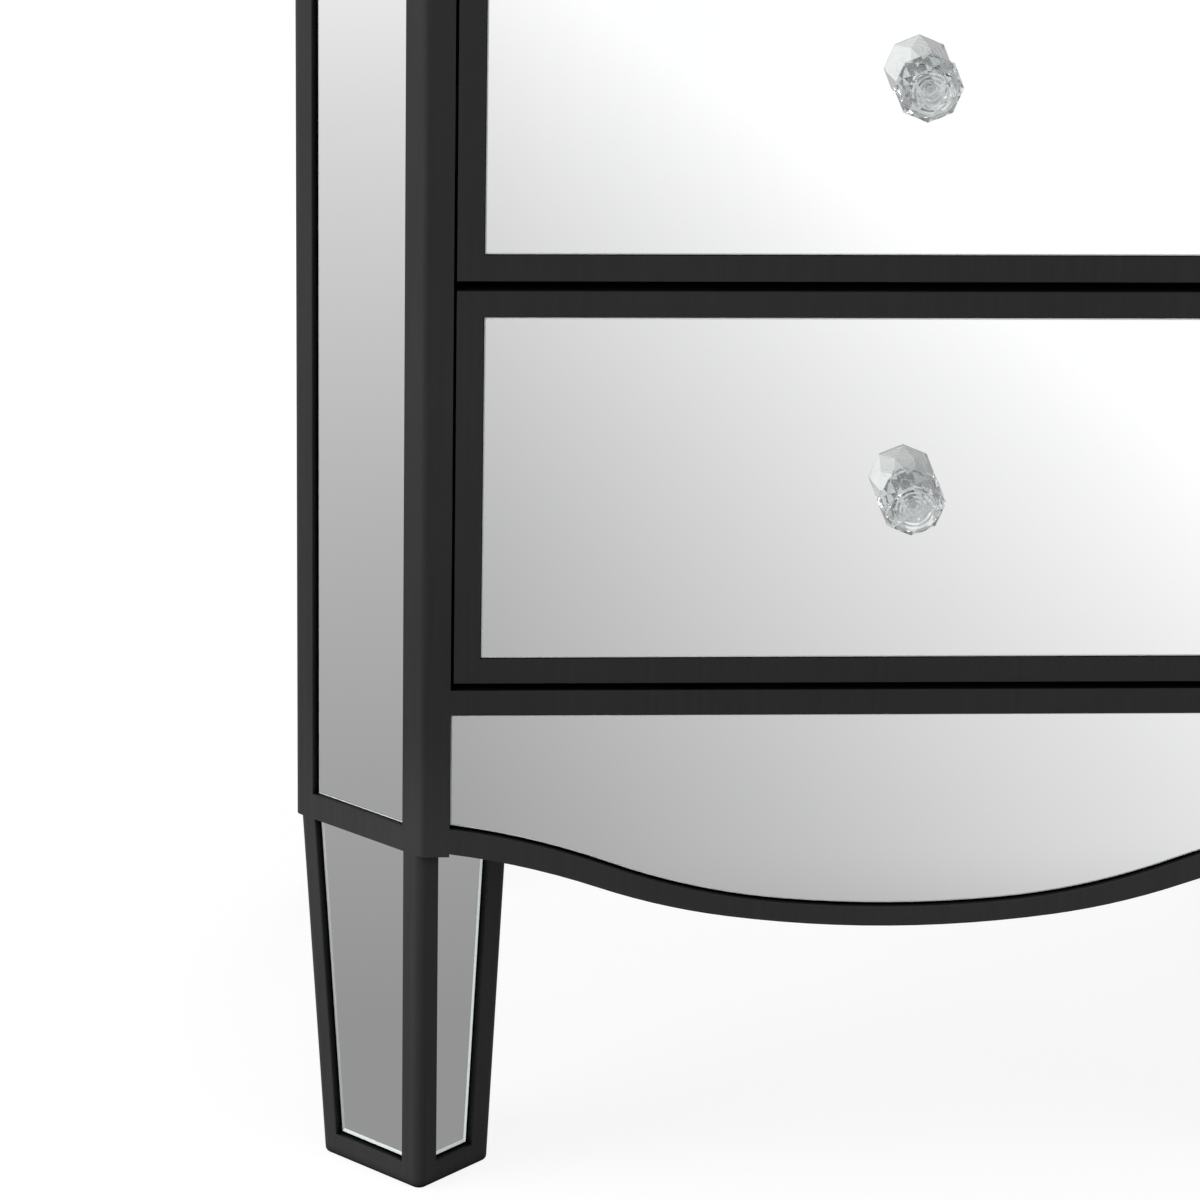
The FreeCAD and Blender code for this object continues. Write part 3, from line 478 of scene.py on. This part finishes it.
def new_tree(name, inputs):
    """A geometry tree with named inputs: returns it, its input sockets and its two end nodes."""
    tree = bpy.data.node_groups.new(name, "GeometryNodeTree")
    tree.interface.new_socket("Geometry", in_out="OUTPUT", socket_type="NodeSocketGeometry")
    identifiers = {}
    for title, start in inputs.items():
        kind = "NodeSocketInt" if isinstance(start, int) else "NodeSocketFloat"
        socket = tree.interface.new_socket(title, in_out="INPUT", socket_type=kind)
        socket.default_value = start
        identifiers[title] = socket.identifier
    given = tree.nodes.new("NodeGroupInput")
    result = tree.nodes.new("NodeGroupOutput")
    return tree, identifiers, given.outputs, result


def wire(tree, kind, sockets=None, **settings):
    """A node whose sockets take plain values or links."""
    node = tree.nodes.new(kind)
    for name, setting in settings.items():
        setattr(node, name, setting)
    for name, source in (sockets or {}).items():
        feed(tree, node.inputs[name], source)
    return node


def reckon(tree, operation, first, second=0.0):
    return wire(tree, "ShaderNodeMath", {0: first, 1: second}, operation=operation).outputs[0]


def vector(tree, x=0.0, y=0.0, z=0.0):
    return wire(tree, "ShaderNodeCombineXYZ", {"X": x, "Y": y, "Z": z}).outputs[0]


def moved(tree, geometry, offset, turn=(0.0, 0.0, 0.0)):
    return wire(tree, "GeometryNodeTransform", {
        "Geometry": geometry, "Translation": offset, "Rotation": turn}).outputs["Geometry"]


def screw_head(tree, given):
    """Pan head with its recess cut out, standing on Z = 0."""
    height = given["Head Height"]
    crown = reckon(tree, "MULTIPLY", given["Head Radius"], CROWN_SHARE)
    pan = wire(tree, "GeometryNodeMeshCone", {
        "Vertices": HEAD_SIDES, "Radius Top": crown, "Radius Bottom": given["Head Radius"],
        "Depth": height})
    arm = reckon(tree, "MULTIPLY", given["Head Radius"], ARM_SHARE)
    deep = reckon(tree, "MULTIPLY", given["Recess Depth"], 2.0)
    arm_size = vector(tree, arm, given["Recess Width"], deep)
    bar = wire(tree, "GeometryNodeMeshCube", {"Size": arm_size}).outputs["Mesh"]
    lift = vector(tree, z=height)
    first = moved(tree, bar, lift)
    second = moved(tree, bar, lift, (0.0, 0.0, math.pi / 2))
    recessed = wire(tree, "GeometryNodeMeshBoolean", {"Mesh 1": pan.outputs["Mesh"]},
                    operation="DIFFERENCE")
    tree.links.new(first, recessed.inputs["Mesh 2"])
    tree.links.new(second, recessed.inputs["Mesh 2"])
    return recessed.outputs["Mesh"]


def screw_shank(tree, given):
    """Rippled shank that hangs below Z = 0."""
    length = given["Shank Length"]
    turns = reckon(tree, "DIVIDE", length, given["Thread Pitch"])
    steps = wire(tree, "FunctionNodeFloatToInt", {0: reckon(tree, "MULTIPLY", turns, STEPS_PER_TURN)},
                 rounding_mode="ROUND").outputs[0]
    rod = wire(tree, "GeometryNodeMeshCylinder", {
        "Vertices": SHANK_SIDES, "Side Segments": steps, "Radius": given["Shank Radius"],
        "Depth": length})
    position = wire(tree, "GeometryNodeInputPosition").outputs[0]
    along = wire(tree, "ShaderNodeSeparateXYZ", {"Vector": position})
    phase = reckon(tree, "DIVIDE", along.outputs["Z"], given["Thread Pitch"])
    wave = reckon(tree, "SINE", reckon(tree, "MULTIPLY", phase, 2 * math.pi))
    sink = reckon(tree, "MULTIPLY", reckon(tree, "SUBTRACT", wave, 1.0), given["Thread Depth"])
    flat = vector(tree, along.outputs["X"], along.outputs["Y"])
    outward = wire(tree, "ShaderNodeVectorMath", {0: flat}, operation="NORMALIZE").outputs[0]
    offset = wire(tree, "ShaderNodeVectorMath", {0: outward, "Scale": sink}, operation="SCALE")
    rippled = wire(tree, "GeometryNodeSetPosition", {
        "Geometry": rod.outputs["Mesh"], "Offset": offset.outputs[0]}).outputs["Geometry"]
    return moved(tree, rippled, vector(tree, z=reckon(tree, "MULTIPLY", length, -0.5)))


def screw_points(tree, given):
    """Grid of points: the columns run along X about the middle, the rows rise along Z from zero."""
    index = wire(tree, "GeometryNodeInputIndex").outputs[0]
    column = reckon(tree, "FLOORED_MODULO", index, given["Columns"])
    row = reckon(tree, "FLOOR", reckon(tree, "DIVIDE", index, given["Columns"]))
    half = reckon(tree, "MULTIPLY", reckon(tree, "SUBTRACT", given["Columns"], 1.0), 0.5)
    across = reckon(tree, "MULTIPLY", reckon(tree, "SUBTRACT", column, half), given["Column Spacing"])
    rise = reckon(tree, "MULTIPLY", row, given["Row Spacing"])
    count = reckon(tree, "MULTIPLY", given["Columns"], given["Rows"])
    return wire(tree, "GeometryNodePoints", {
        "Count": count, "Position": vector(tree, across, 0.0, rise)}).outputs[0]


def screw_tree(finish):
    tree, identifiers, given, result = new_tree("cross-head screws", SCREW_INPUTS)
    screw = wire(tree, "GeometryNodeJoinGeometry")
    tree.links.new(screw_head(tree, given), screw.inputs[0])
    tree.links.new(screw_shank(tree, given), screw.inputs[0])
    turn = wire(tree, "FunctionNodeRandomValue", {"Seed": given["Seed"]}, data_type="FLOAT")
    least, most = active(turn.inputs)[:2]
    least.default_value = 0.0
    most.default_value = math.pi
    facing_back = vector(tree, -math.pi / 2, active(turn.outputs)[0], 0.0)
    screws = wire(tree, "GeometryNodeInstanceOnPoints", {
        "Points": screw_points(tree, given), "Instance": screw.outputs[0], "Rotation": facing_back})
    real = wire(tree, "GeometryNodeRealizeInstances", {"Geometry": screws.outputs[0]})
    dressed = wire(tree, "GeometryNodeSetMaterial", {
        "Geometry": real.outputs[0], "Material": finish})
    tree.links.new(dressed.outputs[0], result.inputs[0])
    return tree, identifiers


screws_rule, screw_sockets = screw_tree(screw_zinc)
print("screw tree:", len(screws_rule.nodes), "nodes,", len(screw_sockets), "inputs")

# %% [markdown]
# ## Running the tree
# A tree runs as a modifier. Its inputs are set by socket identifier before the object is evaluated for
# the first time. The result is then copied out as a plain mesh and moved to its place, so that nothing
# depends on the modifier any more.

# %% From tree to mesh
SHARP_ANGLE = math.radians(35)


def grown(name, tree, identifiers, sizes, place):
    """A plain mesh object made by a geometry tree and set down at a place."""
    seed = bpy.data.objects.new(name, bpy.data.meshes.new(name))
    bpy.context.scene.collection.objects.link(seed)
    modifier = seed.modifiers.new("rule", "NODES")
    modifier.node_group = tree
    for title, size in sizes.items():
        modifier[identifiers[title]] = size
    graph = bpy.context.evaluated_depsgraph_get()
    mesh = bpy.data.meshes.new_from_object(seed.evaluated_get(graph))
    seed.modifiers.remove(modifier)
    mesh.transform(Matrix.Translation(place))
    mesh.shade_smooth()
    mesh.set_sharp_from_angle(angle=SHARP_ANGLE)
    seed.data = mesh
    return seed


HEAD_RADIUS = 3.8 * MM
ROWS = 4
screws_low, screws_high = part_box("back_panel_screws")
panel_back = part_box("back_panel")[1].y
back_screws = grown("back_screws", screws_rule, screw_sockets, {
    "Columns": 2,
    "Rows": ROWS,
    "Column Spacing": screws_high.x - screws_low.x - 2 * HEAD_RADIUS,
    "Row Spacing": (screws_high.z - screws_low.z - 2 * HEAD_RADIUS) / (ROWS - 1),
    "Head Radius": HEAD_RADIUS,
    "Head Height": screws_high.y - panel_back,
    "Shank Radius": 1.75 * MM,
    "Shank Length": panel_back - screws_low.y,
    "Thread Pitch": 1.4 * MM,
    "Thread Depth": 0.25 * MM,
    "Recess Width": 1.0 * MM,
    "Recess Depth": 1.2 * MM,
    "Seed": 11,
}, (0.0, panel_back, screws_low.z + HEAD_RADIUS))
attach(back_screws, "case")
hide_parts("back_panel_screws")
print("back screws:", len(back_screws.data.polygons), "faces")

# %% Knob bolts
BOLT_HEAD_RADIUS = 4.2 * MM
BOLT_RADIUS = 2.0 * MM
FIRST_SEED = 20


def knob_bolt(drawer, seed):
    node = f"{drawer}_knob_bolt"
    low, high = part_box(node)
    front_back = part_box(f"{drawer}_drawer_front")[1].y
    bolt = grown(f"{drawer}_bolt", screws_rule, screw_sockets, {
        "Head Radius": BOLT_HEAD_RADIUS,
        "Head Height": high.y - front_back,
        "Shank Radius": BOLT_RADIUS,
        "Shank Length": front_back - low.y,
        "Thread Pitch": 0.8 * MM,
        "Thread Depth": 0.18 * MM,
        "Recess Width": 1.1 * MM,
        "Recess Depth": 1.4 * MM,
        "Seed": seed,
    }, (0.0, front_back, (low.z + high.z) / 2))
    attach(bolt, f"{drawer}_drawer")
    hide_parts(node)
    return bolt


for seed, drawer in enumerate(("lower", "upper"), FIRST_SEED):
    bolt = knob_bolt(drawer, seed)
    print(bolt.name, "faces:", len(bolt.data.polygons))

# %% [markdown]
# ## Cut-glass knobs
# The model's knob is a plain eight-sided block of the right size. A cut knob has two more rows of facets:
# where a row is turned by half a step against the next, the band between them breaks into triangles, and
# those are what sparkle. Its flat table carries shallow pressed rings, and a socket takes the bolt. The
# wall of the socket has the zinc of the bolt, which shows through the glass as a stem. A list of rings,
# each with a distance out, a radius and a turn, says all of this, and neighbouring rings are joined by
# faces. Every facet is flat shaded, because a rounded facet would not glint. The glass stays a hair clear
# of its metal base, so that light gets in between and the base shines back.

# %% Facet rings
SIDES = 8
HALF_STEP = math.pi / SIDES
ROUND_STEPS = 6
SOCKET_RADIUS = 2.2 * MM
SOCKET_DEPTH = 10.2 * MM
BASE_GAP = 0.1 * MM
NECK_RADIUS = 6.6 * MM
TABLE_RADIUS = 10.2 * MM
GIRDLE_SHARE = 0.56
GIRDLE_HALF = 0.7 * MM
BACK_ROW_OUT, BACK_ROW_SWELL = 0.52, 1.02
FRONT_ROW_OUT, FRONT_ROW_SIZE = 0.48, 0.86
PRESSED_COUNT = 10
PRESSED_START, PRESSED_STEP = 0.88, 0.085
PRESS_DEPTH = 0.2 * MM


def facet_rings(reach, girdle):
    """Eight-sided rings from the end of the socket, round the outside, to the rim of the table."""
    girdle_out = reach * GIRDLE_SHARE
    rim_out = girdle_out + GIRDLE_HALF
    return [
        (SOCKET_DEPTH, SOCKET_RADIUS, 0.0),
        (BASE_GAP, SOCKET_RADIUS, 0.0),
        (BASE_GAP, NECK_RADIUS, 0.0),
        (girdle_out * BACK_ROW_OUT, (NECK_RADIUS + girdle) / 2 * BACK_ROW_SWELL, HALF_STEP),
        (girdle_out - GIRDLE_HALF, girdle, 0.0),
        (rim_out, girdle, 0.0),
        (rim_out + (reach - rim_out) * FRONT_ROW_OUT, girdle * FRONT_ROW_SIZE, HALF_STEP),
        (reach, TABLE_RADIUS, 0.0),
    ]


def pressed_rings(reach):
    """Shallow round steps pressed into the table, from its rim to its middle."""
    rings = []
    for step in range(PRESSED_COUNT):
        sunk = PRESS_DEPTH if step % 2 else 0.0
        rings.append((reach - sunk, TABLE_RADIUS * (PRESSED_START - step * PRESSED_STEP), 0.0))
    return rings


def ring_points(ring, count, centre, seat):
    """Points of one ring, out along -Y from the seat of the knob."""
    out, radius, turn = ring
    spots = []
    for side in range(count):
        angle = turn + 2 * math.pi * side / count
        spots.append((centre.x + radius * math.cos(angle), seat - out,
                      centre.z + radius * math.sin(angle)))
    return spots


print("a knob has", SIDES, "sides")

# %% Build the knobs
def join_rings(shape, first, second, twisted):
    """Faces between two rings: triangles where one ring is turned by half a step."""
    count = len(first)
    for side in range(count):
        after = (side + 1) % count
        if twisted == 0:
            shape.faces.new((first[side], first[after], second[after], second[side]))
        elif twisted > 0:
            shape.faces.new((first[side], first[after], second[side]))
            shape.faces.new((first[after], second[after], second[side]))
        else:
            shape.faces.new((first[side], second[after], second[side]))
            shape.faces.new((first[side], first[after], second[after]))


def join_table(shape, rim, circle):
    """Flat faces between the eight-sided rim of the table and its first round ring."""
    for side in range(SIDES):
        spots = [(side * ROUND_STEPS + step) % len(circle) for step in range(ROUND_STEPS, -1, -1)]
        shape.faces.new((rim[side], rim[(side + 1) % SIDES], *(circle[spot] for spot in spots)))


def crystal(drawer):
    node = f"{drawer}_knob"
    low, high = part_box(node)
    centre = (low + high) / 2
    seat = high.y
    reach = seat - low.y
    girdle = (high.x - low.x) / 2
    shape = bmesh.new()

    def loops(rings, count):
        return [[shape.verts.new(spot) for spot in ring_points(ring, count, centre, seat)] for ring in rings]

    rings = facet_rings(reach, girdle)
    facets = loops(rings, SIDES)
    steps = loops(pressed_rings(reach), SIDES * ROUND_STEPS)
    turns = [turn for out, radius, turn in rings]
    for number in range(len(rings) - 1):
        twist = turns[number + 1] - turns[number]
        join_rings(shape, facets[number], facets[number + 1], (twist > 0) - (twist < 0))
    join_table(shape, facets[-1], steps[0])
    for outer, inner in zip(steps, steps[1:]):
        join_rings(shape, outer, inner, 0)
    shape.faces.new(facets[0])
    shape.faces.new(steps[-1])
    bmesh.ops.recalc_face_normals(shape, faces=shape.faces)
    sleeve = {*facets[0], *facets[1]}
    for face in shape.faces:
        face.material_index = int(sleeve.issuperset(face.verts))
    mesh = bpy.data.meshes.new(f"{drawer}_crystal")
    shape.to_mesh(mesh)
    shape.free()
    mesh.materials.append(glass)
    mesh.materials.append(screw_zinc)
    knob = bpy.data.objects.new(f"{drawer}_crystal", mesh)
    bpy.context.scene.collection.objects.link(knob)
    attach(knob, f"{drawer}_drawer")
    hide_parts(node)
    return knob


for drawer in ("lower", "upper"):
    knob = crystal(drawer)
    print(knob.name, "facets:", len(knob.data.polygons))

# %% [markdown]
# ## Floor
# The piece stands on a plain white sweep. To the camera the floor is white, with a faint shadow under the
# case. That shadow is partly real, cast on the paper, and partly painted shade: the white glow over the
# paper is weaker near the case. Mirrors show whatever lies in front of them, so what they see of the floor
# sets their tone. Close to the case a real sweep is darker, because the case keeps the light off it, and
# it brightens with distance. That falloff is painted on the floor by position, and only for mirror and
# glass rays. Far away it settles at the tone of the room at the horizon, so no line shows where the floor
# ends. The foot of the right front leg would show as a dark notch at the head of the left leg's inner
# mirror, which is plain on the real piece, so mirror rays pass by that leg.

# %% Floor finish
FLOOR_HALF = 9.0
FLOOR_DROP = 0.2 * MM
PAPER, SEEN_PAPER = (0.8, 0.8, 0.8, 1.0), (0.2, 0.2, 0.2, 1.0)
NEAR_GLOW = 0.315
GLOW_PER_METRE = 0.23
GLOW_START = 0.2
FRONT_GLOW = 1.0
FRONT_START, FRONT_END = -0.3, -0.6
BRIGHTEST_GLOW = 1.08
FAR_START, FAR_END = 3.0, 7.5
HORIZON = 0.66
SHADOW_WHITE = 0.88
SHADOW_START, SHADOW_END = 0.7, 1.5
LEG_SPOT = (-0.2, -0.2, 0.0)


def distance_from(tree, place, spot, title):
    gap = add_node(tree, "ShaderNodeVectorMath", title, operation="DISTANCE")
    gap.inputs[1].default_value = spot
    tree.links.new(place, gap.inputs[0])
    return gap.outputs["Value"]


def floor_glow(tree, place):
    """Brightness of the floor as a mirror sees it, from its place on the floor."""
    gap = distance_from(tree, place, LEG_SPOT, "from the front leg")
    beyond = math_node(tree, "MAXIMUM", math_node(tree, "SUBTRACT", gap, GLOW_START), 0.0)
    around = math_node(tree, "MULTIPLY_ADD", beyond, GLOW_PER_METRE, NEAR_GLOW)
    split = add_node(tree, "ShaderNodeSeparateXYZ", "floor axes")
    tree.links.new(place, split.inputs["Vector"])
    rightward = math_node(tree, "SUBTRACT", split.outputs["X"], LEG_SPOT[0])
    rightward = math_node(tree, "MAXIMUM", rightward, 0.0)
    ahead = add_node(tree, "ShaderNodeMapRange", "in front of the case", {
        "From Min": FRONT_START, "From Max": FRONT_END, "To Min": 0.0, "To Max": FRONT_GLOW},
        interpolation_type="SMOOTHSTEP")
    tree.links.new(split.outputs["Y"], ahead.inputs["Value"])
    glow = math_node(tree, "MULTIPLY_ADD", rightward, ahead.outputs[0], around)
    glow = math_node(tree, "MINIMUM", glow, BRIGHTEST_GLOW)
    far = spread(tree, gap, 0.0, 1.0, FAR_START, FAR_END)
    return blend(tree, "fade to the horizon", "FLOAT", far, glow, HORIZON)


def sweep_finish():
    finish, tree, shader = new_finish("white sweep")
    tree.nodes.remove(shader)
    output = tree.nodes["Material Output"]
    rays = add_node(tree, "ShaderNodeLightPath", "kind of ray")
    paper = add_node(tree, "ShaderNodeBsdfDiffuse", "paper", {"Color": PAPER})
    place = add_node(tree, "ShaderNodeTexCoord", "place on the floor").outputs["Object"]
    white = add_node(tree, "ShaderNodeEmission", "white to the camera")
    # Painted shade: the white glow seen by the camera is weaker near the case, which deepens the real shadow
    # there.
    middle = distance_from(tree, place, (0.0, 0.0, 0.0), "from the middle")
    bright = spread(tree, middle, SHADOW_WHITE, 1.0, SHADOW_START, SHADOW_END)
    tree.links.new(bright, white.inputs["Strength"])
    seen_paper = add_node(tree, "ShaderNodeBsdfDiffuse", "paper to the camera", {"Color": SEEN_PAPER})
    seen = add_node(tree, "ShaderNodeAddShader", "white with a faint shadow")
    tree.links.new(white.outputs[0], seen.inputs[0])
    tree.links.new(seen_paper.outputs[0], seen.inputs[1])
    glow = add_node(tree, "ShaderNodeEmission", "floor in a mirror")
    tree.links.new(floor_glow(tree, place), glow.inputs["Strength"])
    to_camera = add_node(tree, "ShaderNodeMixShader", "camera")
    tree.links.new(rays.outputs["Is Camera Ray"], to_camera.inputs[0])
    tree.links.new(paper.outputs[0], to_camera.inputs[1])
    tree.links.new(seen.outputs[0], to_camera.inputs[2])
    shiny = math_node(tree, "MAXIMUM", rays.outputs["Is Glossy Ray"], rays.outputs["Is Transmission Ray"])
    to_mirror = add_node(tree, "ShaderNodeMixShader", "mirror and glass")
    tree.links.new(shiny, to_mirror.inputs[0])
    tree.links.new(to_camera.outputs[0], to_mirror.inputs[1])
    tree.links.new(glow.outputs[0], to_mirror.inputs[2])
    tree.links.new(to_mirror.outputs[0], output.inputs["Surface"])
    return finish


def lay_floor(finish):
    corners = [(x * FLOOR_HALF, y * FLOOR_HALF, -FLOOR_DROP)
               for x, y in ((-1, -1), (1, -1), (1, 1), (-1, 1))]
    mesh = bpy.data.meshes.new("floor")
    mesh.from_pydata(corners, [], [(0, 1, 2, 3)])
    mesh.materials.append(finish)
    floor = bpy.data.objects.new("floor", mesh)
    bpy.context.scene.collection.objects.link(floor)
    return floor


floor = lay_floor(sweep_finish())
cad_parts["right_front_leg"].visible_glossy = False
print("floor is", 2 * FLOOR_HALF, "m wide")

# %% [markdown]
# ## Surroundings
# Beyond the floor there is only a white room. The world shader gives the camera plain white, gives mirror
# and glass rays a soft rise from the horizon to overhead, and gives everything else an even fill.

# %% World
ROOM_FILL = 0.32
CEILING = 0.86
CEILING_START = 0.9


def white_room():
    world = bpy.data.worlds.new("white room")
    bpy.context.scene.world = world
    world.use_nodes = True
    tree = world.node_tree
    backdrop = tree.nodes["Background"]
    rays = add_node(tree, "ShaderNodeLightPath", "kind of ray")
    way = add_node(tree, "ShaderNodeTexCoord", "direction").outputs["Generated"]
    split = add_node(tree, "ShaderNodeSeparateXYZ", "height")
    tree.links.new(way, split.inputs["Vector"])
    rise = spread(tree, split.outputs["Z"], HORIZON, CEILING, 0.0, CEILING_START)
    shiny = math_node(tree, "MAXIMUM", rays.outputs["Is Glossy Ray"], rays.outputs["Is Transmission Ray"])
    room = blend(tree, "mirror rays", "FLOAT", shiny, ROOM_FILL, rise)
    strength = math_node(tree, "MAXIMUM", room, rays.outputs["Is Camera Ray"])
    tree.links.new(strength, backdrop.inputs["Strength"])
    backdrop.inputs["Color"].default_value = (1.0, 1.0, 1.0, 1.0)
    return world


print("world:", white_room().name)

# %% [markdown]
# ## Lamps
# Four soft boxes stand round the piece. The big one on the left rakes along the canted corner, which is
# why that side of the lacquer is paler than the front. One hangs overhead in front, a weaker one fills
# from the right, and a small one behind lifts the rear edges. The mirrors show the white room only, so
# mirror rays pass by the lamps.

# %% Soft boxes
AIM = Vector((0.0, 0.0, 0.32))


def soft_box(name, place, size, power):
    lamp = bpy.data.lights.new(name, "AREA")
    lamp.shape = "SQUARE"
    lamp.size = size
    lamp.energy = power
    box = bpy.data.objects.new(name, lamp)
    box.location = place
    box.visible_glossy = False
    box.rotation_euler = (AIM - Vector(place)).to_track_quat("-Z", "Y").to_euler()
    bpy.context.scene.collection.objects.link(box)
    return box


boxes = [
    soft_box("left soft box", (-2.4, -0.7, 0.5), size=1.8, power=74.0),
    soft_box("overhead soft box", (0.4, -1.4, 3.2), size=2.0, power=12.0),
    soft_box("right fill", (2.8, -1.9, 1.6), size=1.6, power=9.0),
    soft_box("rear lift", (0.8, 2.8, 1.9), size=1.4, power=16.0),
]
print("lamps:", [box.name for box in boxes])

# %% [markdown]
# ## Camera
# The view is a close one from the front left, a little above the top drawer, looking down at the corner
# of the case. The place is measured from the front-left arris, so the view follows the case if its depth
# changes. A long lens keeps the verticals close to parallel, and the camera leans by about one degree.

# %% Camera
FRAME_PIXELS = 1200
SENSOR = 36.0
FOCAL_PIXELS = 4768.1
YAW, PITCH, ROLL = (math.radians(angle) for angle in (3.759, 18.807, 1.078))
STILE = 12.0 * MM
EYE = Vector((-50.23, -1903.29, 924.50)) * MM
FAR_CLIP = 60.0


def point_camera():
    apron_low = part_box("apron")[0]
    arris = Vector((apron_low.x - STILE, apron_low.y, 0.0))
    ahead = Vector((math.sin(YAW) * math.cos(PITCH), math.cos(YAW) * math.cos(PITCH), -math.sin(PITCH)))
    level = Vector((math.cos(YAW), -math.sin(YAW), 0.0))
    rise = level.cross(ahead)
    across = level * math.cos(ROLL) + rise * math.sin(ROLL)
    upward = rise * math.cos(ROLL) - level * math.sin(ROLL)
    lens = bpy.data.cameras.new("camera")
    lens.sensor_width = SENSOR
    lens.lens = SENSOR * FOCAL_PIXELS / FRAME_PIXELS
    lens.clip_end = FAR_CLIP
    camera = bpy.data.objects.new("camera", lens)
    bpy.context.scene.collection.objects.link(camera)
    turn = Matrix((across, upward, -ahead)).transposed().to_4x4()
    camera.matrix_world = Matrix.Translation(arris + EYE) @ turn
    bpy.context.scene.camera = camera
    return camera


camera = point_camera()
bpy.context.scene.view_settings.view_transform = "Standard"
print("camera at", [round(value, 3) for value in camera.location])
